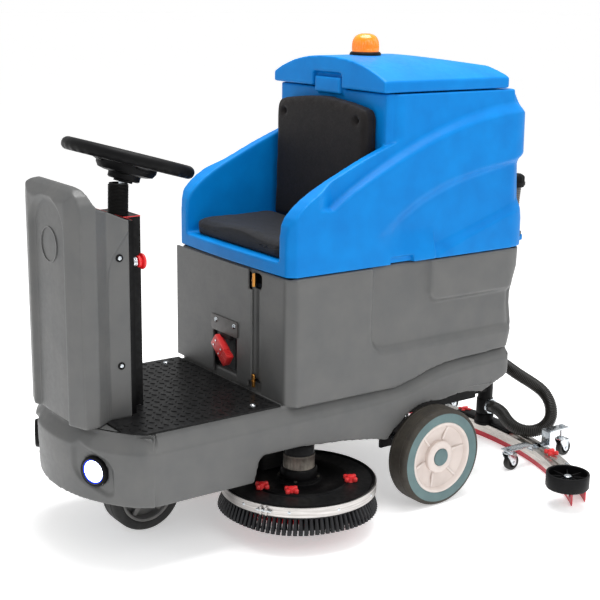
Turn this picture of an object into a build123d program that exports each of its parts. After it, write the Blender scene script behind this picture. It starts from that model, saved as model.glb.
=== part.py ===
from build123d import *
import math
import os

# Ride-on floor scrubber, millimetres.  +Z is up, -Y is the front, +X is the driver's left.
# Everything is first laid out from the rear axle line (Y = 0) on the floor (Z = 0), then moved
# by ORIGIN_SHIFT so that the origin is on the floor, under the middle of the whole machine.
ORIGIN_SHIFT = 207

FIT = 0.05            # radial clearance of a running fit
GAP = 0.3             # gap between curved faces of bodies that move past each other

# Wheels
REAR_RADIUS = 140
REAR_WIDTH = 74
REAR_X = 305
HUB_RADIUS = 104
AXLE_RADIUS = 12
FRONT_Y = -767
FRONT_RADIUS = 102
FRONT_WIDTH = 78
KINGPIN_RADIUS = 25

# Base moulding under the footplate and tanks
BASE_HALF = 285
BASE_FRONT = -1025
BASE_NOSE_RADIUS = 385
BODY_REAR = 330
SKIRT_Z = 176
BASE_TOP = 360
BASE_REAR_TOP = 405
BASE_WALL = 8
BASE_CORNER = 52
ARCH_RADIUS = 152

# Tanks
TANK_HALF = 280
TANK_FRONT = -484
TANK_WALL = 8
SEAM_Z = 698
BATTERY_BAY_REAR = -90
BAY_FLOOR = BASE_TOP + 24
SEAT_Z = 735
ARM_INSIDE = 229
SEAT_BACK_Y = -158
TANK_TOP = 1145
TANK_REAR = 336
FRONT_CHAMFER = 18
TANK_TOP_HALF = 256
LID_FRONT = -175
LID_REAR = 272
LID_HALF = 254
LID_GAP = 4
LID_HEIGHT = 84
BEACON_Y = -42
DRAIN_X = 205

# Steering column and cowl
COWL_HALF = 156
COWL_FLANK = 128
COWL_STEP_Y = -917
COWL_REAR = -854
COWL_FRONT = -1020
COWL_TOP = 950
COWL_WALL = 6
RECESS_DEPTH = 8
COLUMN_HALF = 62
COLUMN_REAR = -790
COLUMN_TOP = 858
PANEL_FRONT = -946
PANEL_REAR = -838
PANEL_HALF = 116
STEER_TILT = 16
ESTOP = (104, 752)
STEER_CENTRE = (0, -787, 994)
STEER_RADIUS = 168
GRIP_RADIUS = 15

# Scrubbing deck, shown raised
BRUSH_X = 220
BRUSH_Y = -407
BRUSH_RADIUS = 206
DECK_PLATE_Z = 120
DECK_PLATE_THICKNESS = 12
BRISTLE_TIP_Z = 58
GUIDE_RADIUS = 15

# Squeegee, shown lowered
BLADE_ARC_RADIUS = 950
BLADE_ARC_CENTRE_Y = -440
BLADE_END_X = 540
SQUEEGEE_PIVOT_Y = 490
NECK_RADIUS = 22
NOZZLE_TOP = 136
LIFT_HINGE = (238, 172)
LIFT_PIN_RADIUS = 8
ROLLER = (550, 286)
ROLLER_RADIUS = 61
CASTER_X = 258
CASTER_RADIUS = 25
CASTER_TRAIL = 12
CASTER_MOUNTS = {"front": (347, 64), "rear": (574, 92)}

# Suction hose, from the elbow at the back of the body to the squeegee's nozzle
HOSE_DIAMETER = 40
HOSE_ROUTE = [
    (70, 366, 300), (70, 412, 300), (80, 452, 290), (96, 486, 263), (118, 519, 235),
    (142, 553, 210), (168, 583, 182), (192, 591, 145), (210, 578, 109), (211, 545, 82),
    (194, 507, 71), (160, 480, 75), (121, 473, 90), (74, 490, 112), (30, 490, 112),
]

parts = {}


def block(x0, x1, y0, y1, z0, z1):
    """A box between two corners."""
    size = (x1 - x0, y1 - y0, z1 - z0)
    middle = ((x0 + x1) / 2, (y0 + y1) / 2, (z0 + z1) / 2)
    return Pos(*middle) * Box(*size)


def rod(start, end, radius):
    """A round bar between two points."""
    line = Vector(*end) - Vector(*start)
    plane = Plane(origin=start, z_dir=line)
    return extrude(plane * Circle(radius), line.length)


def tube(start, end, radius, bore):
    """A round tube between two points."""
    return rod(start, end, radius) - rod(start, end, bore)


def both_sides(shape):
    """The shape and its mirror image across the machine's centre plane."""
    return [shape, mirror(shape, Plane.YZ)]


def side_extrusion(points, half_width):
    """A (Y, Z) outline carried right across the machine."""
    outline = Plane.YZ * make_face(Polyline(*points, close=True))
    return extrude(outline, half_width, both=True)


def rounded_slab(half_width, y0, y1, z0, z1, radius):
    """A flat-topped block with rounded upright corners."""
    plate = Rectangle(2 * half_width, y1 - y0)
    plate = fillet(plate.vertices(), radius)
    return extrude(Pos(0, (y0 + y1) / 2, z0) * plate, z1 - z0)


def add(name, *shapes):
    """Keep one node: a single solid, or a group of like pieces."""
    parts[name] = list(shapes)


# ---------------------------------------------------------------- base, frame and footplate

def base_plan(inset):
    """The base seen from above: straight sides and a bowed nose, shrunk by inset."""
    half = BASE_HALF - inset
    front = BASE_FRONT + inset
    centre_y = BASE_FRONT + BASE_NOSE_RADIUS
    rear = BODY_REAR - inset
    rectangle = Pos(0, (front + rear) / 2) * Rectangle(2 * half, rear - front)
    bow = Pos(0, centre_y) * Circle(BASE_NOSE_RADIUS - inset)
    tail = Pos(0, (centre_y + BODY_REAR) / 2) * Rectangle(2 * half, BODY_REAR - centre_y)
    plan = (rectangle & bow) + (rectangle & tail)
    corners = [v for v in plan.vertices() if abs(v.X) > half - 1]
    corners = [v for v in corners if v.Y < centre_y - 50 or v.Y > rear - 1]
    return fillet(corners, BASE_CORNER - inset)


def base_side(drop):
    """The base seen from the side, moved down by drop."""
    return [
        (BASE_FRONT - 20, SKIRT_Z - drop), (-583, SKIRT_Z - drop), (-571, 250 - drop),
        (-200, 222 - drop), (-150, 206 - drop), (-118, 240 - drop), (-70, 262 - drop),
        (0, 286 - drop), (70, 296 - drop), (150, 294 - drop), (225, 284 - drop),
        (BODY_REAR + 20, 340 - drop),
        (BODY_REAR + 20, BASE_REAR_TOP - drop), (16, BASE_REAR_TOP - 6 - drop),
        (-145, BASE_TOP - drop), (BASE_FRONT - 20, BASE_TOP - drop),
    ]


LIGHT_ANGLE = 25.5
LIGHT_Z = 257
LIGHT_RADIUS = 38


def light_axis(start, end):
    """Two points on a headlight's axis, at distances behind and ahead of the base's skin."""
    centre_y = BASE_FRONT + BASE_NOSE_RADIUS
    across = math.sin(math.radians(LIGHT_ANGLE))
    ahead = -math.cos(math.radians(LIGHT_ANGLE))
    return [(across * r, centre_y + ahead * r, LIGHT_Z)
            for r in (BASE_NOSE_RADIUS + start, BASE_NOSE_RADIUS + end)]


def make_base():
    outer = extrude(base_plan(0), BASE_REAR_TOP + 20) & side_extrusion(base_side(0), BASE_HALF + 5)
    inner = extrude(base_plan(BASE_WALL), BASE_REAR_TOP + 20)
    inner &= side_extrusion(base_side(BASE_WALL), BASE_HALF + 5)
    shell = outer - inner
    shell -= rod((0, FRONT_Y, BASE_TOP - 30), (0, FRONT_Y, BASE_TOP + 5), KINGPIN_RADIUS + 18)
    for pocket in both_sides(rod(*light_axis(-40, 40), LIGHT_RADIUS + 0.2)):
        shell -= pocket
    arch_inside = REAR_X - REAR_WIDTH / 2 - 8
    arch = rod((arch_inside, 0, REAR_RADIUS), (BASE_HALF + 60, 0, REAR_RADIUS), ARCH_RADIUS)
    for side in both_sides(arch):
        shell -= side
    add("base_shell", shell)


RAIL_X = 135
RAIL_SIZE = 40
RAIL_Z = 212
RAIL_WALL = 3


def box_tube(x0, x1, y0, y1, z0, z1, axis):
    """Square steel tube, open at both ends along the named axis."""
    a, b = (0, RAIL_WALL) if axis == "x" else (RAIL_WALL, 0)
    bore = block(x0 + a, x1 - a, y0 + b, y1 - b, z0 + RAIL_WALL, z1 - RAIL_WALL)
    return block(x0, x1, y0, y1, z0, z1) - bore


def make_frame():
    half = RAIL_SIZE / 2
    top = RAIL_Z + RAIL_SIZE
    rail = box_tube(RAIL_X - half, RAIL_X + half, -915, 296, RAIL_Z, top, "y")
    frame = rail + mirror(rail, Plane.YZ)
    inner = RAIL_X - half
    for y in (-910, -560, 60, 250):
        frame += box_tube(-inner, inner, y, y + RAIL_SIZE, RAIL_Z, top, "x")
    # the steering head, a tube through a cross plate
    frame += block(-RAIL_X - half, RAIL_X + half, FRONT_Y - 70, FRONT_Y + 70, top, top + 8)
    frame += rod((0, FRONT_Y, top - 14), (0, FRONT_Y, top + 74), KINGPIN_RADIUS + 14)
    frame -= rod((0, FRONT_Y, RAIL_Z - 5), (0, FRONT_Y, top + 80), KINGPIN_RADIUS + FIT)
    # rear axle plates
    for plate in both_sides(block(inner, inner + 10, -45, 45, REAR_RADIUS - 30, RAIL_Z)):
        frame += plate
    frame -= rod((-200, 0, REAR_RADIUS), (200, 0, REAR_RADIUS), AXLE_RADIUS + FIT)
    # the deck guide post hangs from a cross plate between the rails
    frame += block(-inner, inner, BRUSH_Y - 40, BRUSH_Y + 40, top - 8, top)
    post_z = DECK_PLATE_Z + DECK_PLATE_THICKNESS + 1
    frame += rod((0, BRUSH_Y, post_z), (0, BRUSH_Y, top - 8), GUIDE_RADIUS)
    # two ears and the pin of the squeegee lift hinge
    hinge_y, hinge_z = LIFT_HINGE
    for ear in both_sides(block(34, 42, hinge_y - 16, hinge_y + 40, hinge_z - 16, RAIL_Z)):
        frame += ear
    frame += block(-42, 42, 250, 290, RAIL_Z - 6, RAIL_Z)
    frame += rod((-46, hinge_y, hinge_z), (46, hinge_y, hinge_z), LIFT_PIN_RADIUS)
    add("main_frame", frame)
    add("rear_axle", rod((-REAR_X - 28, 0, REAR_RADIUS), (REAR_X + 28, 0, REAR_RADIUS), AXLE_RADIUS))


def make_footplate():
    plate = extrude(Pos(0, 0, BASE_TOP) * base_plan(23), 5)
    plate &= block(-262, 262, -932, TANK_FRONT - 14, BASE_TOP, BASE_TOP + 5)
    plate -= extrude(Pos(0, 0, BASE_TOP - 1) * cowl_plan(-1), 7)
    slot_half = COLUMN_HALF + 2
    plate -= block(-slot_half, slot_half, -900, COLUMN_REAR + 2, BASE_TOP - 1, BASE_TOP + 6)
    add("footplate", plate)


def make_headlights():
    bezels = both_sides(tube(*light_axis(-26, 6), LIGHT_RADIUS, LIGHT_RADIUS - 6))
    lenses = both_sides(rod(*light_axis(-20, 2), LIGHT_RADIUS - 6.2))
    add("headlight_bezels", *bezels)
    add("headlight_lenses", *lenses)


# ---------------------------------------------------------------- solution tank and batteries

DOOR_LEFT = -277
DOOR_RIGHT = 113
DOOR_BOTTOM = 370
DOOR_TOP = 693
DOOR_THICKNESS = 8
DOOR_HINGE = (121, TANK_FRONT - 5)
CUTOUT = (-77, 42, 400, 494)


# The recovery tank tips to the right on two pins at the seam; the lid turns on two more at its back.
HINGE_PIN = 5
HINGE_EYE = 7.5
TILT_HINGE = (-288, SEAM_Z)
TILT_HINGE_Y = (-330, 200)
LID_HINGE = (281, 1154)
LID_HINGE_X = (-170, 160)


def make_solution_tank():
    outline = [
        (TANK_FRONT, BASE_TOP), (-145, BASE_TOP), (16, BASE_REAR_TOP - 6),
        (BODY_REAR, BASE_REAR_TOP), (BODY_REAR, SEAM_Z), (TANK_FRONT, SEAM_Z),
    ]
    tank = side_extrusion(outline, TANK_HALF)
    tank = fillet(tank.edges().filter_by(Axis.Z).group_by(Axis.Y)[-1], 48)
    tank -= block(-262, 262, TANK_FRONT + TANK_WALL, BATTERY_BAY_REAR, BAY_FLOOR, SEAM_Z + 1)
    doorway_rear = TANK_FRONT + TANK_WALL + 1
    tank -= block(-262, 100, TANK_FRONT - 1, doorway_rear, BAY_FLOOR, SEAM_Z - 14)
    tank -= block(-266, 266, BATTERY_BAY_REAR + 16, BODY_REAR - 20, BASE_REAR_TOP + 16, SEAM_Z + 1)
    hinge_x, hinge_z = TILT_HINGE
    for y in TILT_HINGE_Y:
        tank += rod((hinge_x, y, hinge_z), (hinge_x, y + 10, hinge_z), HINGE_EYE)
        tank += block(hinge_x - HINGE_EYE, -TANK_HALF + 2, y, y + 10, hinge_z - 12, hinge_z - 1)
        tank -= rod((hinge_x, y - 1, hinge_z), (hinge_x, y + 11, hinge_z), HINGE_PIN + FIT)
    add("solution_tank", tank)


def make_batteries():
    length, width, height = 250, 182, 268
    blocks = []
    for x in (-length / 2 - 3, length / 2 + 3):
        for y in (-376, -188):
            case = Pos(x, y, BAY_FLOOR + height / 2) * Box(length, width, height)
            blocks.append(chamfer(case.edges().group_by(Axis.Z)[-1], 6))
    add("batteries", *blocks)


def make_battery_door():
    y0 = TANK_FRONT - DOOR_THICKNESS
    door = block(DOOR_LEFT, DOOR_RIGHT, y0, TANK_FRONT - GAP, DOOR_BOTTOM, DOOR_TOP)
    x0, x1, z0, z1 = CUTOUT
    door -= block(x0, x1, y0 - 1, TANK_FRONT + 1, z0 - 48, z1)
    add("battery_door", door)
    # plate across the top of the cut-out, with its two screws
    plate_z0, plate_z1 = z1 - 2, z1 + 42
    plate = block(x0 - 14, x1 + 14, y0 - 3, y0, plate_z0, plate_z1)
    for x in (-60, 32):
        plate += rod((x, y0 - 6, z1 + 28), (x, y0 - 3, z1 + 28), 5)
    add("connector_plate", plate)
    # flat two-pole connector hanging from the back of the plate
    body = block(x0 + 4, x1 - 6, y0 - 18, y0 + 4, 400, 462)
    body += block(-30, -6, y0 - 12, y0 + 4, 462, 482)
    body += block(-50, 14, y0 - 3, y0 + 4, 482, z1 - 2)
    body -= block(-62, -26, y0 - 20, y0 - 8, 412, 438)
    body -= block(-10, 26, y0 - 20, y0 - 8, 412, 438)
    add("battery_connector", body)


# ---------------------------------------------------------------- recovery tank, seat and lid

def tank_outer():
    """The outside of the recovery tank and seat shell together."""
    outline = [
        (TANK_FRONT, SEAM_Z), (TANK_FRONT, 812), (-474, 848), (-430, 890), (-350, 934),
        (-270, 970), (-165, 1010), (-165, TANK_TOP), (BODY_REAR - 22, TANK_TOP),
        (TANK_REAR, 1100), (TANK_REAR, 960), (BODY_REAR - 8, 930), (BODY_REAR, SEAM_Z),
    ]
    body = side_extrusion(outline, TANK_HALF)
    front_view = [
        (-TANK_HALF, SEAM_Z), (TANK_HALF, SEAM_Z), (TANK_HALF, 990), (TANK_TOP_HALF, TANK_TOP),
        (-TANK_TOP_HALF, TANK_TOP), (-TANK_HALF, 990),
    ]
    section = Plane.XZ.offset(-BODY_REAR - 20) * make_face(Polyline(*front_view, close=True))
    body &= extrude(section, BODY_REAR - TANK_FRONT + 60)
    plan = Pos(0, (TANK_FRONT + TANK_REAR) / 2) * Rectangle(2 * TANK_HALF, TANK_REAR - TANK_FRONT)
    plan = fillet(plan.vertices().group_by(Axis.Y)[-1], 48)
    plan = chamfer(plan.vertices().group_by(Axis.Y)[0], FRONT_CHAMFER)
    return body & extrude(plan, TANK_TOP + 10)


def tilt_knuckles(y):
    """A pin through one eye of the tilt hinge, held by a knuckle on either side."""
    hinge_x, hinge_z = TILT_HINGE
    pin = rod((hinge_x, y - 12, hinge_z), (hinge_x, y + 22, hinge_z), HINGE_PIN)
    for y0 in (y - 12, y + 10.5):
        pin += rod((hinge_x, y0, hinge_z), (hinge_x, y0 + 11.5, hinge_z), HINGE_EYE)
        leaf_top = hinge_z + 14
        pin += block(hinge_x - HINGE_EYE, -TANK_HALF + 2, y0, y0 + 11.5, hinge_z + 1, leaf_top)
    return pin


def make_seat_shell():
    shell = tank_outer() & block(-300, 300, TANK_FRONT - 5, SEAT_BACK_Y, SEAM_Z - 5, TANK_TOP)
    # the driver's place between the arms
    shell -= block(-ARM_INSIDE, ARM_INSIDE, TANK_FRONT - 5, SEAT_BACK_Y + 1, SEAT_Z, TANK_TOP + 5)
    add("seat_shell", shell + tilt_knuckles(TILT_HINGE_Y[0]))


def make_recovery_tank():
    body = tank_outer() & block(-300, 300, SEAT_BACK_Y, TANK_REAR + 5, SEAM_Z - 5, TANK_TOP + 5)
    # dirty-water space, open under the lid
    body -= block(-236, 236, SEAT_BACK_Y + 24, LID_REAR - 22, SEAM_Z + 14, TANK_TOP + 5)
    # hand notches in the lower edge, to tip the tank up
    for grip in both_sides(block(TANK_HALF - 16, TANK_HALF + 5, -148, -76, SEAM_Z - 1, SEAM_Z + 18)):
        body -= grip
    # tab in front of the lid, and the boss that holds the drain hose
    body += block(-58, 58, SEAT_BACK_Y - 16, SEAT_BACK_Y, TANK_TOP - 12, TANK_TOP + 32)
    body += block(-58, 58, SEAT_BACK_Y - 16, SEAT_BACK_Y + 4, TANK_TOP - 12, TANK_TOP)
    body += block(DRAIN_X - 24, DRAIN_X + 24, BODY_REAR - 10, BODY_REAR + 42, SEAM_Z + 4, SEAM_Z + 24)
    body += tilt_knuckles(TILT_HINGE_Y[1])
    # the eyes of the lid's hinge
    hinge_y, hinge_z = LID_HINGE
    for x in LID_HINGE_X:
        body += rod((x, hinge_y, hinge_z), (x + 10, hinge_y, hinge_z), HINGE_EYE)
        body += block(x, x + 10, hinge_y - 4, hinge_y + HINGE_EYE, TANK_TOP - 2, hinge_z)
        body -= rod((x - 1, hinge_y, hinge_z), (x + 11, hinge_y, hinge_z), HINGE_PIN + FIT)
    add("recovery_tank", body)


def make_seat():
    cushion = rounded_slab(222, TANK_FRONT + 12, -206, SEAT_Z, SEAT_Z + 52, 44)
    cushion = fillet(cushion.edges().group_by(Axis.Z)[-1], 16)
    add("seat_cushion", cushion)
    back = Rectangle(436, 350)
    back = fillet(back.vertices().group_by(Axis.Y)[-1], 46)
    back = fillet(back.vertices().group_by(Axis.Y)[0], 20)
    pad = extrude(Plane(origin=(0, SEAT_BACK_Y, 940), x_dir=(1, 0, 0), z_dir=(0, -1, 0)) * back, 44)
    pad = fillet(pad.faces().sort_by(Axis.Y)[0].edges(), 12)
    holes = both_sides(rod((166, SEAT_BACK_Y - 50, 1086), (166, SEAT_BACK_Y - 26, 1086), 11))
    for hole in holes:
        pad -= hole
    add("backrest", pad)
    add("backrest_screws",
        *both_sides(rod((166, SEAT_BACK_Y - 32, 1086), (166, SEAT_BACK_Y - 26, 1086), 9)))


def make_vacuum_motor():
    motor = rod((120, 150, SEAM_Z + 14), (120, 150, SEAM_Z + 74), 72)
    motor += rod((120, 150, SEAM_Z + 74), (120, 150, SEAM_Z + 150), 52)
    add("vacuum_motor", motor)


def make_lid():
    z0 = TANK_TOP + LID_GAP
    arch = [(-LID_HALF, z0), (LID_HALF, z0), (LID_HALF, z0 + 34), (LID_HALF - 62, z0 + 70),
            (LID_HALF - 122, z0 + LID_HEIGHT), (-LID_HALF + 122, z0 + LID_HEIGHT),
            (-LID_HALF + 62, z0 + 70), (-LID_HALF, z0 + 34)]
    section = Plane.XZ.offset(-LID_REAR) * make_face(Polyline(*arch, close=True))
    lid = extrude(section, LID_REAR - LID_FRONT)
    top = [(LID_FRONT, z0), (LID_FRONT, z0 + LID_HEIGHT), (40, z0 + LID_HEIGHT),
           (LID_REAR - 20, z0 + LID_HEIGHT - 26), (LID_REAR, z0 + 40), (LID_REAR, z0)]
    lid &= side_extrusion(top, LID_HALF + 5)
    lid -= block(-LID_HALF + 12, LID_HALF - 12, LID_FRONT + 12, LID_REAR - 12, z0 - 1, z0 + 30)
    # pull tab recess in the front edge
    lid -= block(-62, 62, LID_FRONT - 1, LID_FRONT + 12.5, z0 - 1, z0 + 38)
    hinge_y, hinge_z = LID_HINGE
    for x in LID_HINGE_X:
        lid += rod((x - 12, hinge_y, hinge_z), (x + 22, hinge_y, hinge_z), HINGE_PIN)
        for x0 in (x - 12, x + 10.5):
            lid += rod((x0, hinge_y, hinge_z), (x0 + 11.5, hinge_y, hinge_z), HINGE_EYE - 1)
            lid += block(x0, x0 + 11.5, LID_REAR - 4, hinge_y, hinge_z - 4, hinge_z + 6)
    add("tank_lid", lid)
    top_z = z0 + LID_HEIGHT
    add("beacon_base", rod((0, BEACON_Y, top_z), (0, BEACON_Y, top_z + 9), 44))
    dome = rod((0, BEACON_Y, top_z + 9), (0, BEACON_Y, top_z + 59), 38)
    add("beacon_dome", fillet(dome.edges().group_by(Axis.Z)[-1], 12))


def make_drain_hose():
    y = TANK_REAR + 26
    low = (DRAIN_X, y, SEAM_Z + 24)
    high = (DRAIN_X, y, 866)
    hose = rod(low, high, 21) + rod(high, (DRAIN_X, y, 900), 27)
    hose += block(DRAIN_X - 5, DRAIN_X + 5, TANK_REAR, y, 872, 882)
    add("drain_hose", hose)


# ---------------------------------------------------------------- cowl, column and steering

def cowl_plan(inset):
    """The cowl seen from above: a wide bowed front and two narrower flanks."""
    half, flank, front = COWL_HALF - inset, COWL_FLANK - inset, COWL_FRONT + inset
    side = [
        (flank, COWL_REAR), (flank, COWL_STEP_Y), (half, COWL_STEP_Y - 42), (half, front + 22),
        (half - 52, front + 4),
    ]
    mirrored = [(-x, y) for x, y in reversed(side)]
    edges = Polyline(*mirrored, *side)
    nose = ThreePointArc(side[-1], (0, front), mirrored[0])
    return make_face(edges + nose)


def make_cowl():
    side = [
        (COWL_FRONT - 5, BASE_TOP), (COWL_FRONT - 5, 902), (COWL_FRONT + 31, COWL_TOP),
        (COWL_FRONT + 42, COWL_TOP - 3), (COWL_FRONT + 58, 912), (COWL_FRONT + 76, 897),
        (COWL_STEP_Y, 889), (COWL_REAR, 861), (COWL_REAR + 5, BASE_TOP),
    ]
    crown = [
        (-COWL_HALF, BASE_TOP), (COWL_HALF, BASE_TOP), (COWL_HALF, 905), (COWL_HALF - 16, 934),
        (COWL_HALF - 52, COWL_TOP), (-COWL_HALF + 52, COWL_TOP), (-COWL_HALF + 16, 934),
        (-COWL_HALF, 905),
    ]
    front_view = Plane.XZ.offset(-COWL_REAR - 5) * make_face(Polyline(*crown, close=True))
    height = COWL_TOP - BASE_TOP
    outer = extrude(Pos(0, 0, BASE_TOP) * cowl_plan(0), height + 10)
    outer &= side_extrusion(side, COWL_HALF + 5)
    outer &= extrude(front_view, COWL_REAR - COWL_FRONT + 20)
    # shallow arched recess in the front face
    recess = outer - Pos(0, RECESS_DEPTH, 0) * outer
    arch = Rectangle(176, 470)
    arch = fillet(arch.vertices().group_by(Axis.Y)[-1], 60)
    window = Plane(origin=(0, COWL_FRONT - 20, 640), x_dir=(1, 0, 0), z_dir=(0, 1, 0)) * arch
    outer -= recess & extrude(window, 60)
    inner_plan = Pos(0, RECESS_DEPTH, 0) * cowl_plan(COWL_WALL)
    inner = extrude(Pos(0, 0, BASE_TOP - 1) * inner_plan, 500)
    # the top is open between the flanks, where the black console shows
    inner += block(-PANEL_HALF - 1, PANEL_HALF + 1, PANEL_FRONT - 1, COWL_REAR + 20,
                   BASE_TOP - 1, COWL_TOP)
    add("front_cowl", outer - inner)
    # fixings of the covers: four cowl bolts and the door's two hinge pins
    bolt_y = COWL_REAR - 28
    bolts = [rod((COWL_FLANK, bolt_y, z), (COWL_FLANK + 5, bolt_y, z), 7) for z in (499, 771)]
    hinge_x, hinge_y = DOOR_HINGE
    pins = [rod((hinge_x, hinge_y, z), (hinge_x, hinge_y, z + 34), 5) for z in (376, 650)]
    add("cover_fixings", *[b for bolt in bolts for b in both_sides(bolt)], *pins)


def steer_point(along):
    """A point on the tilted steering axis, measured up from the steering wheel's centre."""
    tilt = math.radians(STEER_TILT)
    x, y, z = STEER_CENTRE
    return (x, y + along * math.sin(tilt), z + along * math.cos(tilt))


def make_column():
    inside = COLUMN_HALF - 4
    foot = BASE_TOP + 6
    column = block(-PANEL_HALF, PANEL_HALF, COWL_REAR + 2, PANEL_REAR, foot, COLUMN_TOP)
    column += block(-PANEL_HALF, PANEL_HALF, PANEL_FRONT, PANEL_REAR, COLUMN_TOP - 5, COLUMN_TOP)
    column += block(-COLUMN_HALF, COLUMN_HALF, PANEL_REAR, COLUMN_REAR, foot, COLUMN_TOP)
    column -= block(-inside, inside, COWL_REAR, COLUMN_REAR - 4, BASE_TOP, COLUMN_TOP - 5)
    column -= rod(steer_point(-200), steer_point(-100), 16)
    x, z = ESTOP
    column += rod((x, PANEL_REAR, z), (x, PANEL_REAR + 10, z), 12)
    column -= rod((x, PANEL_REAR + 1, z), (x, PANEL_REAR + 11, z), 8 + FIT)
    add("steering_column", column)
    # rubber boot with five folds round the shaft, cut flat where it sits on the column
    pieces = None
    for fold in range(5):
        low = steer_point(-148 + 15 * fold)
        middle = steer_point(-141 + 15 * fold)
        high = steer_point(-133 + 15 * fold)
        wide = rod(low, middle, 30)
        thin = rod(middle, high, 26)
        pieces = wide + thin if pieces is None else pieces + wide + thin
    pieces -= rod(steer_point(-220), steer_point(-60), 15)
    pieces -= block(-60, 60, -900, -750, COLUMN_TOP - 60, COLUMN_TOP)
    add("bellows", pieces)


def make_steering_wheel():
    axis = Vector(*steer_point(1)) - Vector(*STEER_CENTRE)
    plane = Plane(origin=STEER_CENTRE, x_dir=(1, 0, 0), z_dir=axis)
    wheel = plane * Torus(STEER_RADIUS - GRIP_RADIUS, GRIP_RADIUS)
    for angle in (0, 180, 270):
        spoke = Rot(0, 0, angle) * Pos(92, 0, -4) * Box(130, 34, 12)
        wheel += plane * spoke
    wheel += plane * Pos(0, 0, -14) * Cylinder(46, 34)
    wheel += plane * Pos(0, 0, 8) * Cylinder(34, 10)
    add("steering_wheel", wheel)
    shaft = rod(steer_point(-31), steer_point(-285), 11)
    add("steering_shaft", shaft)


def make_estop():
    x, z = ESTOP
    button = rod((x, PANEL_REAR + 7, z), (x, PANEL_REAR + 16, z), 8)
    button += rod((x, PANEL_REAR + 16, z), (x, PANEL_REAR + 34, z), 20)
    add("estop_button", button)


PEDAL = (-150, -730)


def make_pedal():
    x, y = PEDAL
    plate = Pos(x, y, BASE_TOP + 14) * Rot(-24, 0, 0) * Pos(0, -50, 0) * Box(86, 100, 8)
    plate += rod((x - 43, y, BASE_TOP + 13.5), (x + 43, y, BASE_TOP + 13.5), 8)
    add("drive_pedal", plate)


# ---------------------------------------------------------------- wheels

def make_rear_wheel(side, sign):
    inner, outer = sign * (REAR_X - REAR_WIDTH / 2), sign * (REAR_X + REAR_WIDTH / 2)

    def ring(inset, depth, radius):
        """A disc on the axle line, between two depths in from the outer face."""
        start = (outer - sign * inset, 0, REAR_RADIUS)
        return rod(start, (outer - sign * depth, 0, REAR_RADIUS), radius)

    tyre = tube((inner, 0, REAR_RADIUS), (outer, 0, REAR_RADIUS), REAR_RADIUS, HUB_RADIUS)
    add(side + "_tyre", tyre)
    hub = ring(2, REAR_WIDTH - 4, HUB_RADIUS) - ring(0, 20, HUB_RADIUS - 10) + ring(6, 21, 46)
    hub -= ring(8, REAR_WIDTH, AXLE_RADIUS + FIT)
    add(side + "_hub", hub + ring(1, 7, 22))


def make_front_wheel():
    half = FRONT_WIDTH / 2
    axis = [(-half, FRONT_Y, FRONT_RADIUS), (half, FRONT_Y, FRONT_RADIUS)]
    add("front_tyre", tube(*axis, FRONT_RADIUS, 76))
    rim = rod(*axis, 76) - rod((half - 14, FRONT_Y, FRONT_RADIUS), (half, FRONT_Y, FRONT_RADIUS), 68)
    rim += rod((half - 15, FRONT_Y, FRONT_RADIUS), (half - 4, FRONT_Y, FRONT_RADIUS), 26)
    rim -= rod((-half - 1, FRONT_Y, FRONT_RADIUS), (half - 8, FRONT_Y, FRONT_RADIUS), 10 + FIT)
    add("front_rim", rim)


def make_drive_unit():
    half = FRONT_WIDTH / 2
    z = FRONT_RADIUS
    fork = rod((0, FRONT_Y, 210), (0, FRONT_Y, RAIL_Z + RAIL_SIZE + 74), KINGPIN_RADIUS)
    fork += block(-half - 20, half - 4, FRONT_Y - 42, FRONT_Y + 42, 209, 221)
    fork += block(-half - 20, -half - 6, FRONT_Y - 34, FRONT_Y + 34, z - 34, 221)
    fork += rod((-half - 10, FRONT_Y, z), (half - 9, FRONT_Y, z), 10)
    add("drive_fork", fork)
    motor = rod((-half - 20, FRONT_Y, z), (-half - 86, FRONT_Y, z), 42)
    add("drive_motor", motor)


# ---------------------------------------------------------------- scrubbing deck

def make_deck():
    z0, z1 = DECK_PLATE_Z, DECK_PLATE_Z + DECK_PLATE_THICKNESS
    centre = (BRUSH_X, BRUSH_Y)
    disc = rod((*centre, z0), (*centre, z1), BRUSH_RADIUS)
    bridge = block(-140, 140, BRUSH_Y - 62, BRUSH_Y + 62, z0, z1 + 6)
    deck = disc + mirror(disc, Plane.YZ) + bridge
    deck += rod((0, BRUSH_Y, z1), (0, BRUSH_Y, z1 + 104), GUIDE_RADIUS + 9)
    deck -= rod((0, BRUSH_Y, z1), (0, BRUSH_Y, z1 + 110), GUIDE_RADIUS + FIT)
    for hole in both_sides(rod((*centre, z0 - 1), (*centre, z1 + 1), 12 + FIT)):
        deck -= hole
    add("brush_deck", deck)
    band = tube((*centre, z1 - 26), (*centre, z1), BRUSH_RADIUS + 4, BRUSH_RADIUS)
    band -= bridge
    add("deck_bands", *both_sides(band))
    motor = rod((*centre, z1), (*centre, z1 + 34), 50) + rod((*centre, z1 + 34), (*centre, z1 + 104), 40)
    motor -= rod((*centre, z1 - 1), (*centre, z1 + 30), 12 + FIT)
    add("brush_motors", *both_sides(motor))
    knobs = []
    for angle, reach in ((45, 140), (-45, 112), (-85, 126)):
        x = BRUSH_X + reach * math.cos(math.radians(angle))
        y = BRUSH_Y + reach * math.sin(math.radians(angle))
        knobs += both_sides(star_knob(x, y, z1))
    add("deck_knobs", *knobs)


def star_knob(x, y, z):
    """A four-armed hand nut standing on a plate."""
    knob = Cylinder(11, 16) + Box(40, 12, 11) + Box(12, 40, 11)
    return Pos(x, y, z + 9) * knob


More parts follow.
